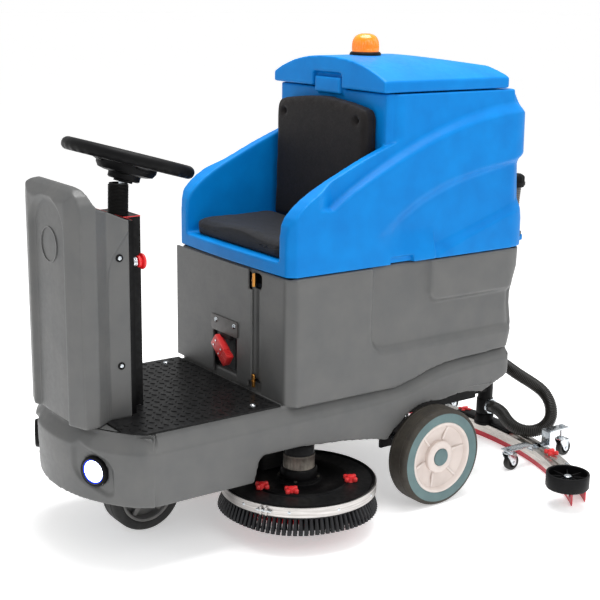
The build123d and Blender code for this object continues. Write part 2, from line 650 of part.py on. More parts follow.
def make_brush(side, sign):
    x = sign * BRUSH_X
    top = DECK_PLATE_Z - 2
    block_z = top - 20
    disc = rod((x, BRUSH_Y, block_z), (x, BRUSH_Y, top), BRUSH_RADIUS - 4)
    disc += rod((x, BRUSH_Y, top), (x, BRUSH_Y, top + 40), 12)
    profile = Polyline((90, block_z), (BRUSH_RADIUS - 4, block_z), (BRUSH_RADIUS + 9, BRISTLE_TIP_Z),
                       (80, BRISTLE_TIP_Z), close=True)
    skirt = revolve(Plane.XZ * make_face(profile), Axis.Z)
    add(side + "_brush", disc + Pos(x, BRUSH_Y, 0) * skirt)


# ---------------------------------------------------------------- squeegee

def arc_bar(half_width, offset, thickness, z0, z1):
    """A curved bar that follows the squeegee's arc."""
    radius = BLADE_ARC_RADIUS + offset
    ring = Circle(radius + thickness / 2) - Circle(radius - thickness / 2)
    window = Pos(0, radius) * Rectangle(2 * half_width, 700)
    return extrude(Pos(0, BLADE_ARC_CENTRE_Y, z0) * (ring & window), z1 - z0)


def arc_y(x, offset=0):
    """The Y of the squeegee's arc at X."""
    return BLADE_ARC_CENTRE_Y + math.sqrt((BLADE_ARC_RADIUS + offset) ** 2 - x ** 2)


def make_squeegee():
    body = arc_bar(BLADE_END_X, 0, 58, 44, 49)
    body += arc_bar(BLADE_END_X, -27, 4, 20, 46) + arc_bar(BLADE_END_X, 27, 4, 20, 46)
    # arms out to the bumper rollers
    roller_x, roller_y = ROLLER
    end_y = arc_y(roller_x - 22)
    arm = block(roller_x - 40, roller_x + 10, roller_y - 12, end_y + 10, 49, 55)
    arm += rod((roller_x, roller_y, 49), (roller_x, roller_y, 92), 8)
    # bent straps that carry the casters
    front_y, front_z = CASTER_MOUNTS["front"]
    rear_y, rear_z = CASTER_MOUNTS["rear"]
    middle = arc_y(CASTER_X)
    strap = block(CASTER_X - 17, CASTER_X + 17, front_y - 17, middle - 40, front_z, front_z + 4)
    strap += block(CASTER_X - 17, CASTER_X + 17, middle - 44, middle - 40, 49, front_z + 4)
    strap += block(CASTER_X - 17, CASTER_X + 17, middle - 44, middle + 34, 49, 54)
    strap += block(CASTER_X - 17, CASTER_X + 17, middle + 30, middle + 34, 49, rear_z + 4)
    strap += block(CASTER_X - 17, CASTER_X + 17, middle + 30, rear_y + 17, rear_z, rear_z + 4)
    for x, z in ((front_y, front_z), (rear_y, rear_z)):
        strap -= rod((CASTER_X, x, z - 1), (CASTER_X, x, z + 6), 5 + FIT)
    for extra in (arm, strap):
        for piece in both_sides(extra):
            body += piece
    # collar that turns on the suction nozzle's neck
    body += block(-34, 34, SQUEEGEE_PIVOT_Y - 36, SQUEEGEE_PIVOT_Y + 30, 49, 55)
    neck = (0, SQUEEGEE_PIVOT_Y)
    body += rod((*neck, 49), (*neck, 82), NECK_RADIUS + 8)
    body -= rod((*neck, 30), (*neck, 90), NECK_RADIUS + FIT)
    add("squeegee_bar", body)
    blades = [arc_bar(BLADE_END_X + 18, -22.2, 5, 0.6, 43), arc_bar(BLADE_END_X + 18, 22.2, 5, 0.6, 43)]
    add("squeegee_blades", *blades)
    knobs = [star_knob(x, arc_y(x) + 4, 49) for x in (-110, 110, -330, 330)]
    add("squeegee_knobs", *knobs)
    # suction nozzle, an elbow that faces the hose
    elbow = rod((*neck, 44), (*neck, NOZZLE_TOP), NECK_RADIUS)
    elbow += rod((*neck, 84), (*neck, NOZZLE_TOP), NECK_RADIUS + 5)
    elbow += rod((*neck, HOSE_ROUTE[-1][2]), HOSE_ROUTE[-1], HOSE_DIAMETER / 2 + 3)
    elbow -= rod((*neck, 40), (*neck, 112), NECK_RADIUS - 4)
    add("suction_nozzle", elbow)


def make_lift_arm():
    hinge_y, hinge_z = LIFT_HINGE
    arm = rod((-33.5, hinge_y, hinge_z), (33.5, hinge_y, hinge_z), 14)
    arm += block(-20, 20, hinge_y, SQUEEGEE_PIVOT_Y, hinge_z - 10, hinge_z + 10)
    arm += rod((0, SQUEEGEE_PIVOT_Y, NOZZLE_TOP), (0, SQUEEGEE_PIVOT_Y, hinge_z + 14), 24)
    arm -= rod((-50, hinge_y, hinge_z), (50, hinge_y, hinge_z), LIFT_PIN_RADIUS + FIT)
    add("lift_arm", arm)


def make_casters():
    for side, sign in (("left", 1), ("right", -1)):
        for end, (y, z) in CASTER_MOUNTS.items():
            x = sign * CASTER_X
            wheel_y = y + CASTER_TRAIL
            crown = CASTER_RADIUS * 2 + 4
            swivel = rod((x, y, crown), (x, y, z + 8), 5)
            swivel += block(x - 14, x + 14, y - 13, wheel_y + 8, crown, crown + 3)
            foot = CASTER_RADIUS - 8
            for cheek in (x - 14, x + 11):
                swivel += block(cheek, cheek + 3, wheel_y - 9, wheel_y + 8, foot, crown)
            axle = [(x + across, wheel_y, CASTER_RADIUS) for across in (-14, 14)]
            add(f"{side}_{end}_swivel", swivel + rod(*axle, 4))
            tread = [(x + across, wheel_y, CASTER_RADIUS) for across in (-10, 10)]
            add(f"{side}_{end}_caster", tube(*tread, CASTER_RADIUS, 4 + FIT))


def make_rollers():
    for side, sign in (("left", 1), ("right", -1)):
        x, y = sign * ROLLER[0], ROLLER[1]
        bowl = rod((x, y, 58), (x, y, 104), ROLLER_RADIUS)
        bowl -= rod((x, y, 66), (x, y, 105), ROLLER_RADIUS - 7)
        bowl += rod((x, y, 58), (x, y, 84), 18)
        bowl -= rod((x, y, 50), (x, y, 92), 8 + FIT)
        add(side + "_bumper_roller", bowl)


# ---------------------------------------------------------------- suction hose

def make_hose():
    x, exit_y, exit_z = HOSE_ROUTE[0]
    outer = HOSE_DIAMETER / 2 + 4
    drop_y = BODY_REAR - 40
    elbow_top = BASE_REAR_TOP - BASE_WALL - 3
    elbow = rod((x, drop_y, exit_z), (x, drop_y, elbow_top), outer)
    elbow += rod((x, drop_y, exit_z), (x, exit_y, exit_z), outer)
    elbow += Pos(x, drop_y, exit_z) * Sphere(outer)
    add("hose_elbow", elbow)
    points = [Vector(*p) for p in HOSE_ROUTE]
    radii = []
    for before, corner, after in zip(points, points[1:], points[2:]):
        turn = (corner - before).get_angle(after - corner)
        shorter = min((corner - before).length, (after - corner).length)
        radii.append(0.45 * shorter / math.tan(math.radians(turn) / 2))
    path = FilletPolyline(*points, radius=radii)
    start = Plane(origin=points[0], z_dir=path.tangent_at(0))
    hose = sweep(start * Circle(HOSE_DIAMETER / 2), path=path)
    section = math.pi * HOSE_DIAMETER ** 2 / 4
    print("hose arc radii", [round(r) for r in radii])
    print("hose length", round(path.length), "volume over section", round(hose.volume / section))
    add("suction_hose", hose)


make_base()
make_frame()
make_footplate()
make_headlights()
make_solution_tank()
make_batteries()
make_battery_door()
make_recovery_tank()
make_seat_shell()
make_seat()
make_vacuum_motor()
make_lid()
make_drain_hose()
make_cowl()
make_column()
make_steering_wheel()
make_estop()
make_pedal()
make_rear_wheel("left", 1)
make_rear_wheel("right", -1)
make_front_wheel()
make_drive_unit()
make_deck()
make_brush("left", 1)
make_brush("right", -1)
make_squeegee()
make_lift_arm()
make_casters()
make_rollers()
make_hose()

os.makedirs("parts", exist_ok=True)
placed = Pos(0, ORIGIN_SHIFT, 0)
for node, solids in parts.items():
    moved = [placed * solid for solid in solids]
    shape = moved[0] if len(moved) == 1 else Compound(children=moved)
    export_step(shape, f"parts/{node}.step")
print(len(parts), "nodes")
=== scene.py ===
from math import cos, hypot, pi, radians, sin, sqrt

import bmesh
import bpy
import numpy as np
from mathutils import Matrix, Vector


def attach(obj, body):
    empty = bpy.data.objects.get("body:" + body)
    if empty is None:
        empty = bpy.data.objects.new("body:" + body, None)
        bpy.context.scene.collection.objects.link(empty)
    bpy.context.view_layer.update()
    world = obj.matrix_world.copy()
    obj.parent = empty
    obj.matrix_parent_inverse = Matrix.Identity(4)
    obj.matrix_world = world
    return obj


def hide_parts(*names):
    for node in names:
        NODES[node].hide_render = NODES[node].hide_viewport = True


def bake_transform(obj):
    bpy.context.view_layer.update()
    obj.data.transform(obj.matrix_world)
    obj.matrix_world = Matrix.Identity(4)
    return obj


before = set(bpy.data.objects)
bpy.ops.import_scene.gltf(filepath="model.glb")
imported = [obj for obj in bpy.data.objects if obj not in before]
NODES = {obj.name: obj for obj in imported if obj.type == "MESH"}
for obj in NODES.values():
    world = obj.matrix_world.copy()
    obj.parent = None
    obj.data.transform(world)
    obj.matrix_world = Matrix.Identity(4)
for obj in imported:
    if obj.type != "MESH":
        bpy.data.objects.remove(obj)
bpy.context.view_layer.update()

# Sizes are in millimetres from the rear axle line, as in the part's source, and place() turns
# them into metres in the shared frame.
ORIGIN_SHIFT = 207
UP = (0, 0, 1)
SIDES = ((1, "left"), (-1, "right"))
scene = bpy.context.scene


def place(points):
    """Millimetres from the rear axle line to metres in the frame."""
    return (np.asarray(points, float) + (0, ORIGIN_SHIFT, 0)) / 1000


def link(name, data):
    """A new object, linked to the scene."""
    obj = bpy.data.objects.new(name, data)
    scene.collection.objects.link(obj)
    return obj


# ---- camera

def aim_camera():
    azimuth, pitch, roll = (radians(v) for v in (54.33, 13.98, 0.85))
    ahead = Vector((-sin(azimuth) * cos(pitch), cos(azimuth) * cos(pitch),
                    -sin(pitch)))
    level = Vector((cos(azimuth), sin(azimuth), 0))
    over = level.cross(ahead)
    right = level * cos(roll) + over * sin(roll)
    up = over * cos(roll) - level * sin(roll)
    camera = link("camera", bpy.data.cameras.new("camera"))
    camera.matrix_world = Matrix.LocRotScale(
        Vector((2.783, -2.044, 1.410)), Matrix((right, up, -ahead)).transposed(), None)
    camera.data.sensor_width = 36
    camera.data.lens = 75.1
    scene.camera = camera


aim_camera()


# ---- materials

def srgb(value):
    """A hex colour as linear RGBA."""
    channels = [int(value[i:i + 2], 16) / 255 for i in (0, 2, 4)]
    return [c / 12.92 if c <= 0.04045 else ((c + 0.055) / 1.055) ** 2.4 for c in channels] + [1]


def material(name, colour, second=None, roughness=0.5, spread=0.08, metallic=0.0, bump=0.1,
             bump_scale=900, scale=14, wear=None, specular=0.5, coat=0.0, emission=None,
             strength=0.0, sheen=0.0, stretch=(1, 1, 1)):
    """A procedural finish: two tones mixed by noise, uneven roughness, a fine grain and worn edges."""
    mat = bpy.data.materials.new(name)
    mat.use_nodes = True
    nodes, links = mat.node_tree.nodes, mat.node_tree.links
    shader = nodes["Principled BSDF"]
    place_on = nodes.new("ShaderNodeTexCoord")
    mapping = nodes.new("ShaderNodeMapping")
    mapping.inputs["Scale"].default_value = stretch
    links.new(place_on.outputs["Object"], mapping.inputs["Vector"])

    def noise(size, detail=3.0):
        node = nodes.new("ShaderNodeTexNoise")
        node.inputs["Scale"].default_value = size
        node.inputs["Detail"].default_value = detail
        links.new(mapping.outputs["Vector"], node.inputs["Vector"])
        return node.outputs["Fac"]

    def remap(source, low, high, start=0.3, end=0.7):
        node = nodes.new("ShaderNodeMapRange")
        for socket, value in zip(("From Min", "From Max", "To Min", "To Max"), (start, end, low, high)):
            node.inputs[socket].default_value = value
        links.new(source, node.inputs["Value"])
        return node.outputs["Result"]

    def mix(factor, a, b):
        node = nodes.new("ShaderNodeMix")
        node.data_type = "RGBA"
        links.new(factor, node.inputs["Factor"])
        for socket, value in ((6, a), (7, b)):
            if isinstance(value, list):
                node.inputs[socket].default_value = value
            else:
                links.new(value, node.inputs[socket])
        return node.outputs[2]

    tone = mix(remap(noise(scale), 0, 1), srgb(colour), srgb(second or colour))
    if wear:
        edges = nodes.new("ShaderNodeNewGeometry")
        worn = nodes.new("ShaderNodeMath")
        worn.operation = "MULTIPLY"
        links.new(remap(edges.outputs["Pointiness"], 0, 0.55, 0.52, 0.62), worn.inputs[0])
        links.new(remap(noise(scale * 6), 0.2, 1), worn.inputs[1])
        tone = mix(worn.outputs[0], tone, srgb(wear))
    links.new(tone, shader.inputs["Base Color"])
    links.new(remap(noise(scale * 5), roughness - spread, roughness + spread), shader.inputs["Roughness"])
    shader.inputs["Metallic"].default_value = metallic
    shader.inputs["Specular IOR Level"].default_value = specular
    shader.inputs["Coat Weight"].default_value = coat
    shader.inputs["Sheen Weight"].default_value = sheen
    if emission:
        shader.inputs["Emission Color"].default_value = srgb(emission)
        shader.inputs["Emission Strength"].default_value = strength
    if bump:
        grain = nodes.new("ShaderNodeBump")
        grain.inputs["Strength"].default_value = bump
        grain.inputs["Distance"].default_value = 0.0006
        links.new(noise(bump_scale, 2.0), grain.inputs["Height"])
        links.new(grain.outputs["Normal"], shader.inputs["Normal"])
    return mat


BLUE = material("blue_moulding", "0074c2", "007fce", 0.42, 0.05, bump=0.16, bump_scale=700, wear="3ba6ee",
                specular=0.14)
GRAY = material("gray_moulding", "555656", "5d5d5c", 0.46, 0.05, bump=0.14, bump_scale=800, wear="9a9a98")
GRAY_DARK = material("gray_moulding_dark", "4b4c4d", "535352", 0.46, 0.05, bump=0.14, wear="8b8b8a")
BLACK = material("black_plastic", "0c0c0d", "131314", 0.45, 0.07, bump=0.18, wear="2c2c2c", specular=0.1)
STEEL_BLACK = material("black_steel", "070708", "0e0e0f", 0.36, 0.07, bump=0.08, bump_scale=500,
                       wear="303030", specular=0.09)
RUBBER = material("black_rubber", "141414", "1e1d1c", 0.62, 0.08, bump=0.25, wear="3b3a38")
HOSE = material("hose_plastic", "131210", "201e1b", 0.36, 0.07, wear="4f4a43")
STAINLESS = material("stainless", "b9b4ae", "cfcac4", 0.32, 0.1, metallic=1, bump=0.12, stretch=(1, 1, 14))
ZINC = material("zinc", "b8c0c6", "d9dde0", 0.24, 0.08, metallic=1, scale=30)
ALUMINIUM = material("aluminium_band", "a9a5a2", "cfcbc8", 0.38, 0.1, metallic=1, bump=0.15,
                     stretch=(1, 1, 20))
BRASS = material("brass", "b8793a", "d79a4e", 0.3, 0.08, metallic=1)
RED = material("red_plastic", "d8141c", "e8232a", 0.34, 0.06, wear="ff7a72")
RED_RUBBER = material("red_rubber", "b3081f", "c91430", 0.42, 0.07, bump=0.12, wear="e2566a")
TREAD = material("tread_rubber", "2e2a24", "3a352d", 0.72, 0.08, bump=0.35, bump_scale=300, scale=30)
SIDEWALL = material("sidewall_rubber", "566e70", "607a7b", 0.55, 0.06, bump=0.12, scale=20)
HUB = material("hub_plastic", "cfc2bb", "ddd1ca", 0.38, 0.05, bump=0.08, wear="f5efec")
FRONT_TYRE = material("front_tyre_rubber", "191919", "242322", 0.66, 0.08, bump=0.3, bump_scale=350)
RIM = material("rim_gray", "5b5b5a", "6c6b69", 0.45, 0.08, bump=0.15, wear="96938f")
FOAM = material("seat_foam", "110e0e", "191515", 0.62, 0.07, bump=0.5, bump_scale=1500, scale=40, sheen=0.04,
                specular=0.2)
FOAM_SEAT = material("seat_foam_top", "16171a", "1e1f23", 0.66, 0.07, bump=0.5, bump_scale=1500, scale=40,
                     sheen=0.05, specular=0.2)
BRISTLE = material("bristle", "08080c", "15151a", 0.5, 0.1, scale=60)
BRISTLE_RED = material("bristle_red", "c0101c", "dc2430", 0.45, 0.1, scale=60)
LENS = material("lamp_glass", "eaf2ff", "ffffff", 0.08, 0.02, bump=0, emission="dfeaff", strength=7)
LENS_RING = material("lamp_ring", "1430c8", "2a4cf0", 0.3, 0.05, emission="1c3cff", strength=1.2)
AMBER = material("amber", "ff7a00", "ff9412", 0.16, 0.04, bump=0.05, emission="ff7a00", strength=0.25,
                 coat=0.5)
BATTERY = material("battery_case", "1d2023", "26292c", 0.5, 0.08, bump=0.2, wear="4a4d50")
DRAIN = material("drain_gray", "4c4846", "5c5855", 0.5, 0.08, bump=0.2, wear="85807c")
MOTOR = material("motor_steel", "5d5852", "8a847b", 0.42, 0.12, metallic=0.8, bump=0.3, scale=40)
PLATE = material("plate_brown", "3a3634", "45403d", 0.4, 0.06, wear="6d6763")


# ---- mesh makers

def bevelled(verts, faces, width, segments=2):
    """Rounds the sharp edges of a small closed form."""
    bm = bmesh.new()
    made = [bm.verts.new(v) for v in verts]
    for face in faces:
        bm.faces.new([made[i] for i in face])
    bmesh.ops.recalc_face_normals(bm, faces=bm.faces)
    sharp = [e for e in bm.edges if len(e.link_faces) == 2 and e.calc_face_angle() > 0.5]
    if width and sharp:
        bmesh.ops.bevel(bm, geom=sharp, offset=width, segments=segments, profile=0.6, affect="EDGES",
                        clamp_overlap=True)
    bm.verts.index_update()
    out = [tuple(v.co) for v in bm.verts], [[v.index for v in f.verts] for f in bm.faces]
    bm.free()
    return out


def prism(axis, outline, a, b, bevel=0.0, segments=2):
    """A flat outline carried from a to b along an axis."""
    corner = {"x": lambda u, v, s: (s, u, v), "y": lambda u, v, s: (u, s, v),
              "z": lambda u, v, s: (u, v, s)}[axis]
    ends = [[corner(u, v, s) for u, v in outline] for s in (a, b)]
    n = len(outline)
    faces = [list(range(n))[::-1], list(range(n, 2 * n))]
    faces += [[i, (i + 1) % n, (i + 1) % n + n, i + n] for i in range(n)]
    return bevelled(ends[0] + ends[1], faces, bevel, segments)


def block(x0, x1, y0, y1, z0, z1, bevel=0.0, segments=2):
    return prism("z", [(x0, y0), (x1, y0), (x1, y1), (x0, y1)], z0, z1, bevel, segments)


def polar(radius, degrees, x=0, y=0):
    """The point at a distance and direction from (x, y)."""
    return x + radius * cos(radians(degrees)), y + radius * sin(radians(degrees))


def rotation(degrees, axis="Z"):
    return Matrix.Rotation(radians(degrees), 3, axis)


def rounded(half_x, half_y, radius, centre=(0, 0), steps=8):
    """A rounded rectangle's outline."""
    x, y = half_x - radius, half_y - radius
    return [polar(radius, turn + 90 * i / steps, centre[0] + sx * x, centre[1] + sy * y)
            for turn, sx, sy in ((0, 1, 1), (90, -1, 1), (180, -1, -1), (270, 1, -1))
            for i in range(steps + 1)]


def frame_of(axis):
    """Two directions square to an axis."""
    axis = Vector(axis).normalized()
    side = Vector((0, 0, 1)) if abs(axis.z) < 0.9 else Vector((1, 0, 0))
    u = axis.cross(side).normalized()
    return axis, u, axis.cross(u)


def lathe(profile, origin, axis, steps=64, closed=False, wave=None):
    """(radius, along) points turned about an axis.  wave(angle, i) may scale each ring's radius."""
    axis, u, w = frame_of(axis)
    origin = Vector(origin)
    verts, faces = [], []
    for i, (radius, along) in enumerate(profile):
        for k in range(steps):
            a = 2 * pi * k / steps
            r = radius * (wave(a, i) if wave else 1)
            verts.append(tuple(origin + axis * along + (u * cos(a) + w * sin(a)) * r))
    rows = len(profile)
    for i in range(rows if closed else rows - 1):
        j = (i + 1) % rows
        for k in range(steps):
            m = (k + 1) % steps
            faces.append([i * steps + k, i * steps + m, j * steps + m, j * steps + k])
    if not closed:
        faces.append(list(range(steps))[::-1])
        faces.append([(rows - 1) * steps + k for k in range(steps)])
    return verts, faces


def rod(start, end, radius, steps=24, chamfer=1.0):
    line = Vector(end) - Vector(start)
    long = line.length
    c = min(chamfer, radius * 0.5, long * 0.3)
    profile = [(radius - c, 0), (radius, c), (radius, long - c), (radius - c, long)]
    return lathe(profile, start, line, steps)


def sweep(points, radii, steps=20):
    """A round tube through points, with a radius at each, closed at both ends."""
    points = [Vector(p) for p in points]
    verts, faces = [], []
    tangents = [(points[min(i + 1, len(points) - 1)] - points[max(i - 1, 0)]).normalized()
                for i in range(len(points))]
    _, u, _ = frame_of(tangents[0])
    for point, tangent, radius in zip(points, tangents, radii):
        u = (u - tangent * u.dot(tangent)).normalized()
        w = tangent.cross(u)
        for k in range(steps):
            a = 2 * pi * k / steps
            verts.append(tuple(point + (u * cos(a) + w * sin(a)) * radius))
    for i in range(len(points) - 1):
        for k in range(steps):
            m = (k + 1) % steps
            faces.append([i * steps + k, i * steps + m, (i + 1) * steps + m, (i + 1) * steps + k])
    faces.append(list(range(steps))[::-1])
    faces.append([(len(points) - 1) * steps + k for k in range(steps)])
    return verts, faces


def mirrored(form):
    verts, faces = form
    return [(-x, y, z) for x, y, z in verts], [face[::-1] for face in faces]


def moved(form, offset, turn=None, about=(0, 0, 0)):
    """A form turned by a matrix about a point, then moved."""
    verts, faces = form
    about, offset = Vector(about), Vector(offset)
    if turn is None:
        return [tuple(Vector(v) + offset) for v in verts], faces
    return [tuple(turn @ (Vector(v) - about) + about + offset) for v in verts], faces


def placed_mesh(name, form):
    verts, faces = form
    mesh = bpy.data.meshes.new(name)
    mesh.from_pydata([tuple(p) for p in place(verts)], [], faces)
    return mesh


class Piece:
    """Collects forms, each with its own material, into one mesh."""

    def __init__(self, name, *materials):
        self.name, self.materials = name, materials
        self.verts, self.faces, self.slots = [], [], []

    def add(self, form, slot=0):
        verts, faces = form
        base = len(self.verts)
        self.verts += list(verts)
        self.faces += [[base + i for i in face] for face in faces]
        self.slots += [slot] * len(faces)
        return self

    def pair(self, form, slot=0):
        return self.add(form, slot).add(mirrored(form), slot)

    def turned(self, profile, origin, axis=UP, steps=48, slot=0, wave=None):
        return self.add(lathe(profile, origin, axis, steps, wave=wave), slot)

    def ring(self, profile, origin, axis=UP, steps=48, slot=0, wave=None):
        """Adds a turned form with a hole through it."""
        return self.add(lathe(profile, origin, axis, steps, True, wave), slot)

    def make(self, body=None, slot=None, *nodes, smooth=38):
        mesh = placed_mesh(self.name, (self.verts, self.faces))
        for mat in self.materials:
            mesh.materials.append(mat)
        mesh.polygons.foreach_set("material_index", self.slots)
        return settle(mesh, self.name, body, nodes, smooth)


def settle(mesh, name, body, nodes, smooth=38):
    """Links a finished mesh, shades it and ties it to its body and nodes."""
    mesh.validate()
    mesh.shade_smooth()
    if smooth:
        mesh.set_sharp_from_angle(angle=radians(smooth))
    obj = link(name, mesh)
    if body:
        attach(obj, body)
    if nodes:
        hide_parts(*nodes)
    return obj


def temporary(form):
    return link("temporary", placed_mesh("temporary", form))


def evaluated(obj):
    """The mesh of an object with its modifiers applied."""
    bpy.context.view_layer.update()
    graph = bpy.context.evaluated_depsgraph_get()
    return bpy.data.meshes.new_from_object(obj.evaluated_get(graph))


def sculpt(mesh, change):
    """Moves a mesh by a function that takes and returns the x, y and z of its points in millimetres."""
    co = np.empty(len(mesh.vertices) * 3)
    mesh.vertices.foreach_get("co", co)
    points = co.reshape(-1, 3) * 1000 - (0, ORIGIN_SHIFT, 0)
    moved_to = change(*points.T.copy())
    mesh.vertices.foreach_set("co", place(np.stack(moved_to, 1)).ravel())
    mesh.update()


def remeshed(rough, voxel):
    """Adds the modifier that fuses a form into one even skin of cells, in millimetres."""
    mod = rough.modifiers.new("remesh", "REMESH")
    mod.mode, mod.voxel_size = "VOXEL", voxel / 1000


def soften(obj, times):
    mod = obj.modifiers.new("soften", "SMOOTH")
    mod.factor, mod.iterations = 0.5, times


def moulded(name, solids, cuts, mat, body, nodes, voxel=4.0, smoothing=4, shape=None):
    """A rotationally moulded form: rough solids less their cuts, fused, rounded, then shaped."""
    verts, faces = [], []
    cutters = [temporary(cut) for cut in cuts]
    for form in solids:
        solid = temporary(form)
        for cutter in cutters:
            mod = solid.modifiers.new("cut", "BOOLEAN")
            mod.operation, mod.solver, mod.object = "DIFFERENCE", "EXACT", cutter
        mesh = evaluated(solid)
        base = len(verts)
        verts += [tuple(v.co) for v in mesh.vertices]
        faces += [[base + i for i in p.vertices] for p in mesh.polygons]
        bpy.data.objects.remove(solid)
    for cutter in cutters:
        bpy.data.objects.remove(cutter)
    mesh = bpy.data.meshes.new(name)
    mesh.from_pydata(verts, [], faces)
    rough = link("rough", mesh)
    remeshed(rough, voxel)
    soften(rough, smoothing)
    mesh = evaluated(rough)
    bpy.data.objects.remove(rough)
    if shape:
        sculpt(mesh, shape)
    mesh.materials.clear()
    mesh.materials.append(mat)
    mesh.name = name
    return settle(mesh, name, body, nodes, smooth=0)


def ease(t):
    t = np.clip(t, 0, 1)
    return t * t * (3 - 2 * t)


def curve(points, degree=3):
    """A smooth height as a function of Y, through measured points."""
    ys, zs = zip(*points)
    fit = np.polyfit(ys, zs, degree)
    low, high = min(ys), max(ys)
    return lambda y: np.polyval(fit, np.clip(y, low, high))


def rounded_box_distance(a, b, a0, a1, b0, b1, radius):
    """Signed distance to a rounded rectangle, negative inside."""
    da = np.maximum(a0 + radius - a, a - a1 + radius)
    db = np.maximum(b0 + radius - b, b - b1 + radius)
    outside = np.hypot(np.maximum(da, 0), np.maximum(db, 0))
    return outside + np.minimum(np.maximum(da, db), 0) - radius


# ---- suction hose

HOSE_ROUTE = [
    (70, 366, 300), (70, 412, 300), (80, 452, 290), (96, 486, 263), (118, 519, 235),
    (142, 553, 210), (168, 583, 182), (192, 591, 145), (210, 578, 109), (211, 545, 82),
    (194, 507, 71), (160, 480, 75), (121, 473, 90), (74, 490, 112), (30, 490, 112),
]


def spline_line(route):
    """Points read from a NURBS spline that has the route as its control points."""
    data = bpy.data.curves.new("route", "CURVE")
    data.dimensions = "3D"
    data.resolution_u = 24
    spline = data.splines.new("NURBS")
    spline.points.add(len(route) - 1)
    for point, where in zip(spline.points, place(route)):
        point.co = (*where, 1)
    spline.order_u = 3
    spline.use_endpoint_u = True
    obj = link("route", data)
    mesh = bpy.data.meshes.new_from_object(obj)
    line = [v.co.copy() for v in mesh.vertices]
    bpy.data.objects.remove(obj)
    return line


def evenly(line, gap):
    """The same line with points a fixed distance apart, in metres."""
    co = np.array(line)
    along = np.concatenate([[0], np.cumsum(np.linalg.norm(np.diff(co, axis=0), axis=1))])
    stops = np.linspace(0, along[-1], int(round(along[-1] / gap)) + 1)
    return [tuple(np.interp(s, along, co[:, k]) for k in range(3)) for s in stops]


def make_hose():
    """A corrugated hose: a ring every 5.6 mm."""
    points = evenly(spline_line(HOSE_ROUTE), 0.0014)
    radii = [0.0172 + 0.0028 * (1, 0.72, 0, 0.72)[i % 4] for i in range(len(points))]
    # plain cuffs at both ends
    for i in range(16):
        radii[i] = radii[-1 - i] = 0.0196
    verts, faces = sweep(points, radii, 28)
    mesh = bpy.data.meshes.new("hose")
    mesh.from_pydata(verts, [], faces)
    mesh.materials.append(HOSE)
    hose = settle(mesh, "hose", None, ["suction_hose"], smooth=60)
    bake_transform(hose)


# ---- tanks and lid

SIDE_LEDGE_TOP = curve([(-351, 877), (-300, 893), (-213, 952), (-121, 1006), (9, 1062), (168, 1093),
                        (273, 1111), (336, 1118)])
SIDE_LEDGE_LOW = curve([(-369, 868), (-302, 886), (-222, 934), (-140, 972), (-10, 1019), (107, 1050),
                        (252, 1075), (336, 1082)])
CREASE_TOP = curve([(-209, 773), (-183, 807), (-134, 844), (-2, 898), (135, 937), (290, 962), (340, 968)])
CREASE_LOW = curve([(-156, 775), (-122, 806), (10, 868), (148, 910), (301, 939), (340, 944)])
RIB_TOP = curve([(0, 736), (14, 742), (155, 780), (313, 834), (340, 842)], 2)
RIB_LOW = curve([(21, 706), (53, 724), (193, 768), (307, 802), (340, 812)], 2)


def shape_recovery_tank(x, y, z):
    side = np.abs(x)
    # the sides step in above the arm's ledge, and behind it below a crease, save on a rib
    ledge = SIDE_LEDGE_TOP(y)
    width = np.maximum(ledge - SIDE_LEDGE_LOW(y), 9)
    inset = 23 * ease((z - ledge + width) / width) * ease((y + 405) / 70)
    behind = ease((y + 215) / 110)
    below_crease = ease((CREASE_TOP(y) - z) / (CREASE_TOP(y) - CREASE_LOW(y)))
    on_rib = ease((RIB_TOP(y) - z) / (RIB_TOP(y) - RIB_LOW(y))) * ease((y + 25) / 40)
    fade = ease((z - 700) / 90) * (y < 0) + (y >= 0)
    inset = inset + 15 * behind * below_crease * (1 - on_rib) * fade
    x -= np.sign(x) * inset * np.clip((side - 240) / 30, 0, 1)
    # rear face follows the same steps
    steps = np.interp(z, [698, 780, 800, 838, 935, 968, 1080, 1112, 1145], [12, 11, 8, 0, -6, 8, 6, -14, -34])
    y += steps * np.clip((y - 292) / 30, 0, 1)
    # the seat front bows and the arms' noses lean back
    y -= 9 * (1 - np.clip(side / 280, 0, 1) ** 2) * np.clip((-y - 440) / 30, 0, 1)
    return x, y, z


# the tank's side hinge: its axis and the near faces of its two knuckles; the lid's hinge behind
TILT_X, TILT_Z, TILT_YS = -288, 698, (-330, 200)
LID_HINGE_Y, LID_HINGE_Z, LID_HINGE_XS = 281, 1154, (-170, 160)
LID_BOTTOM = 1149


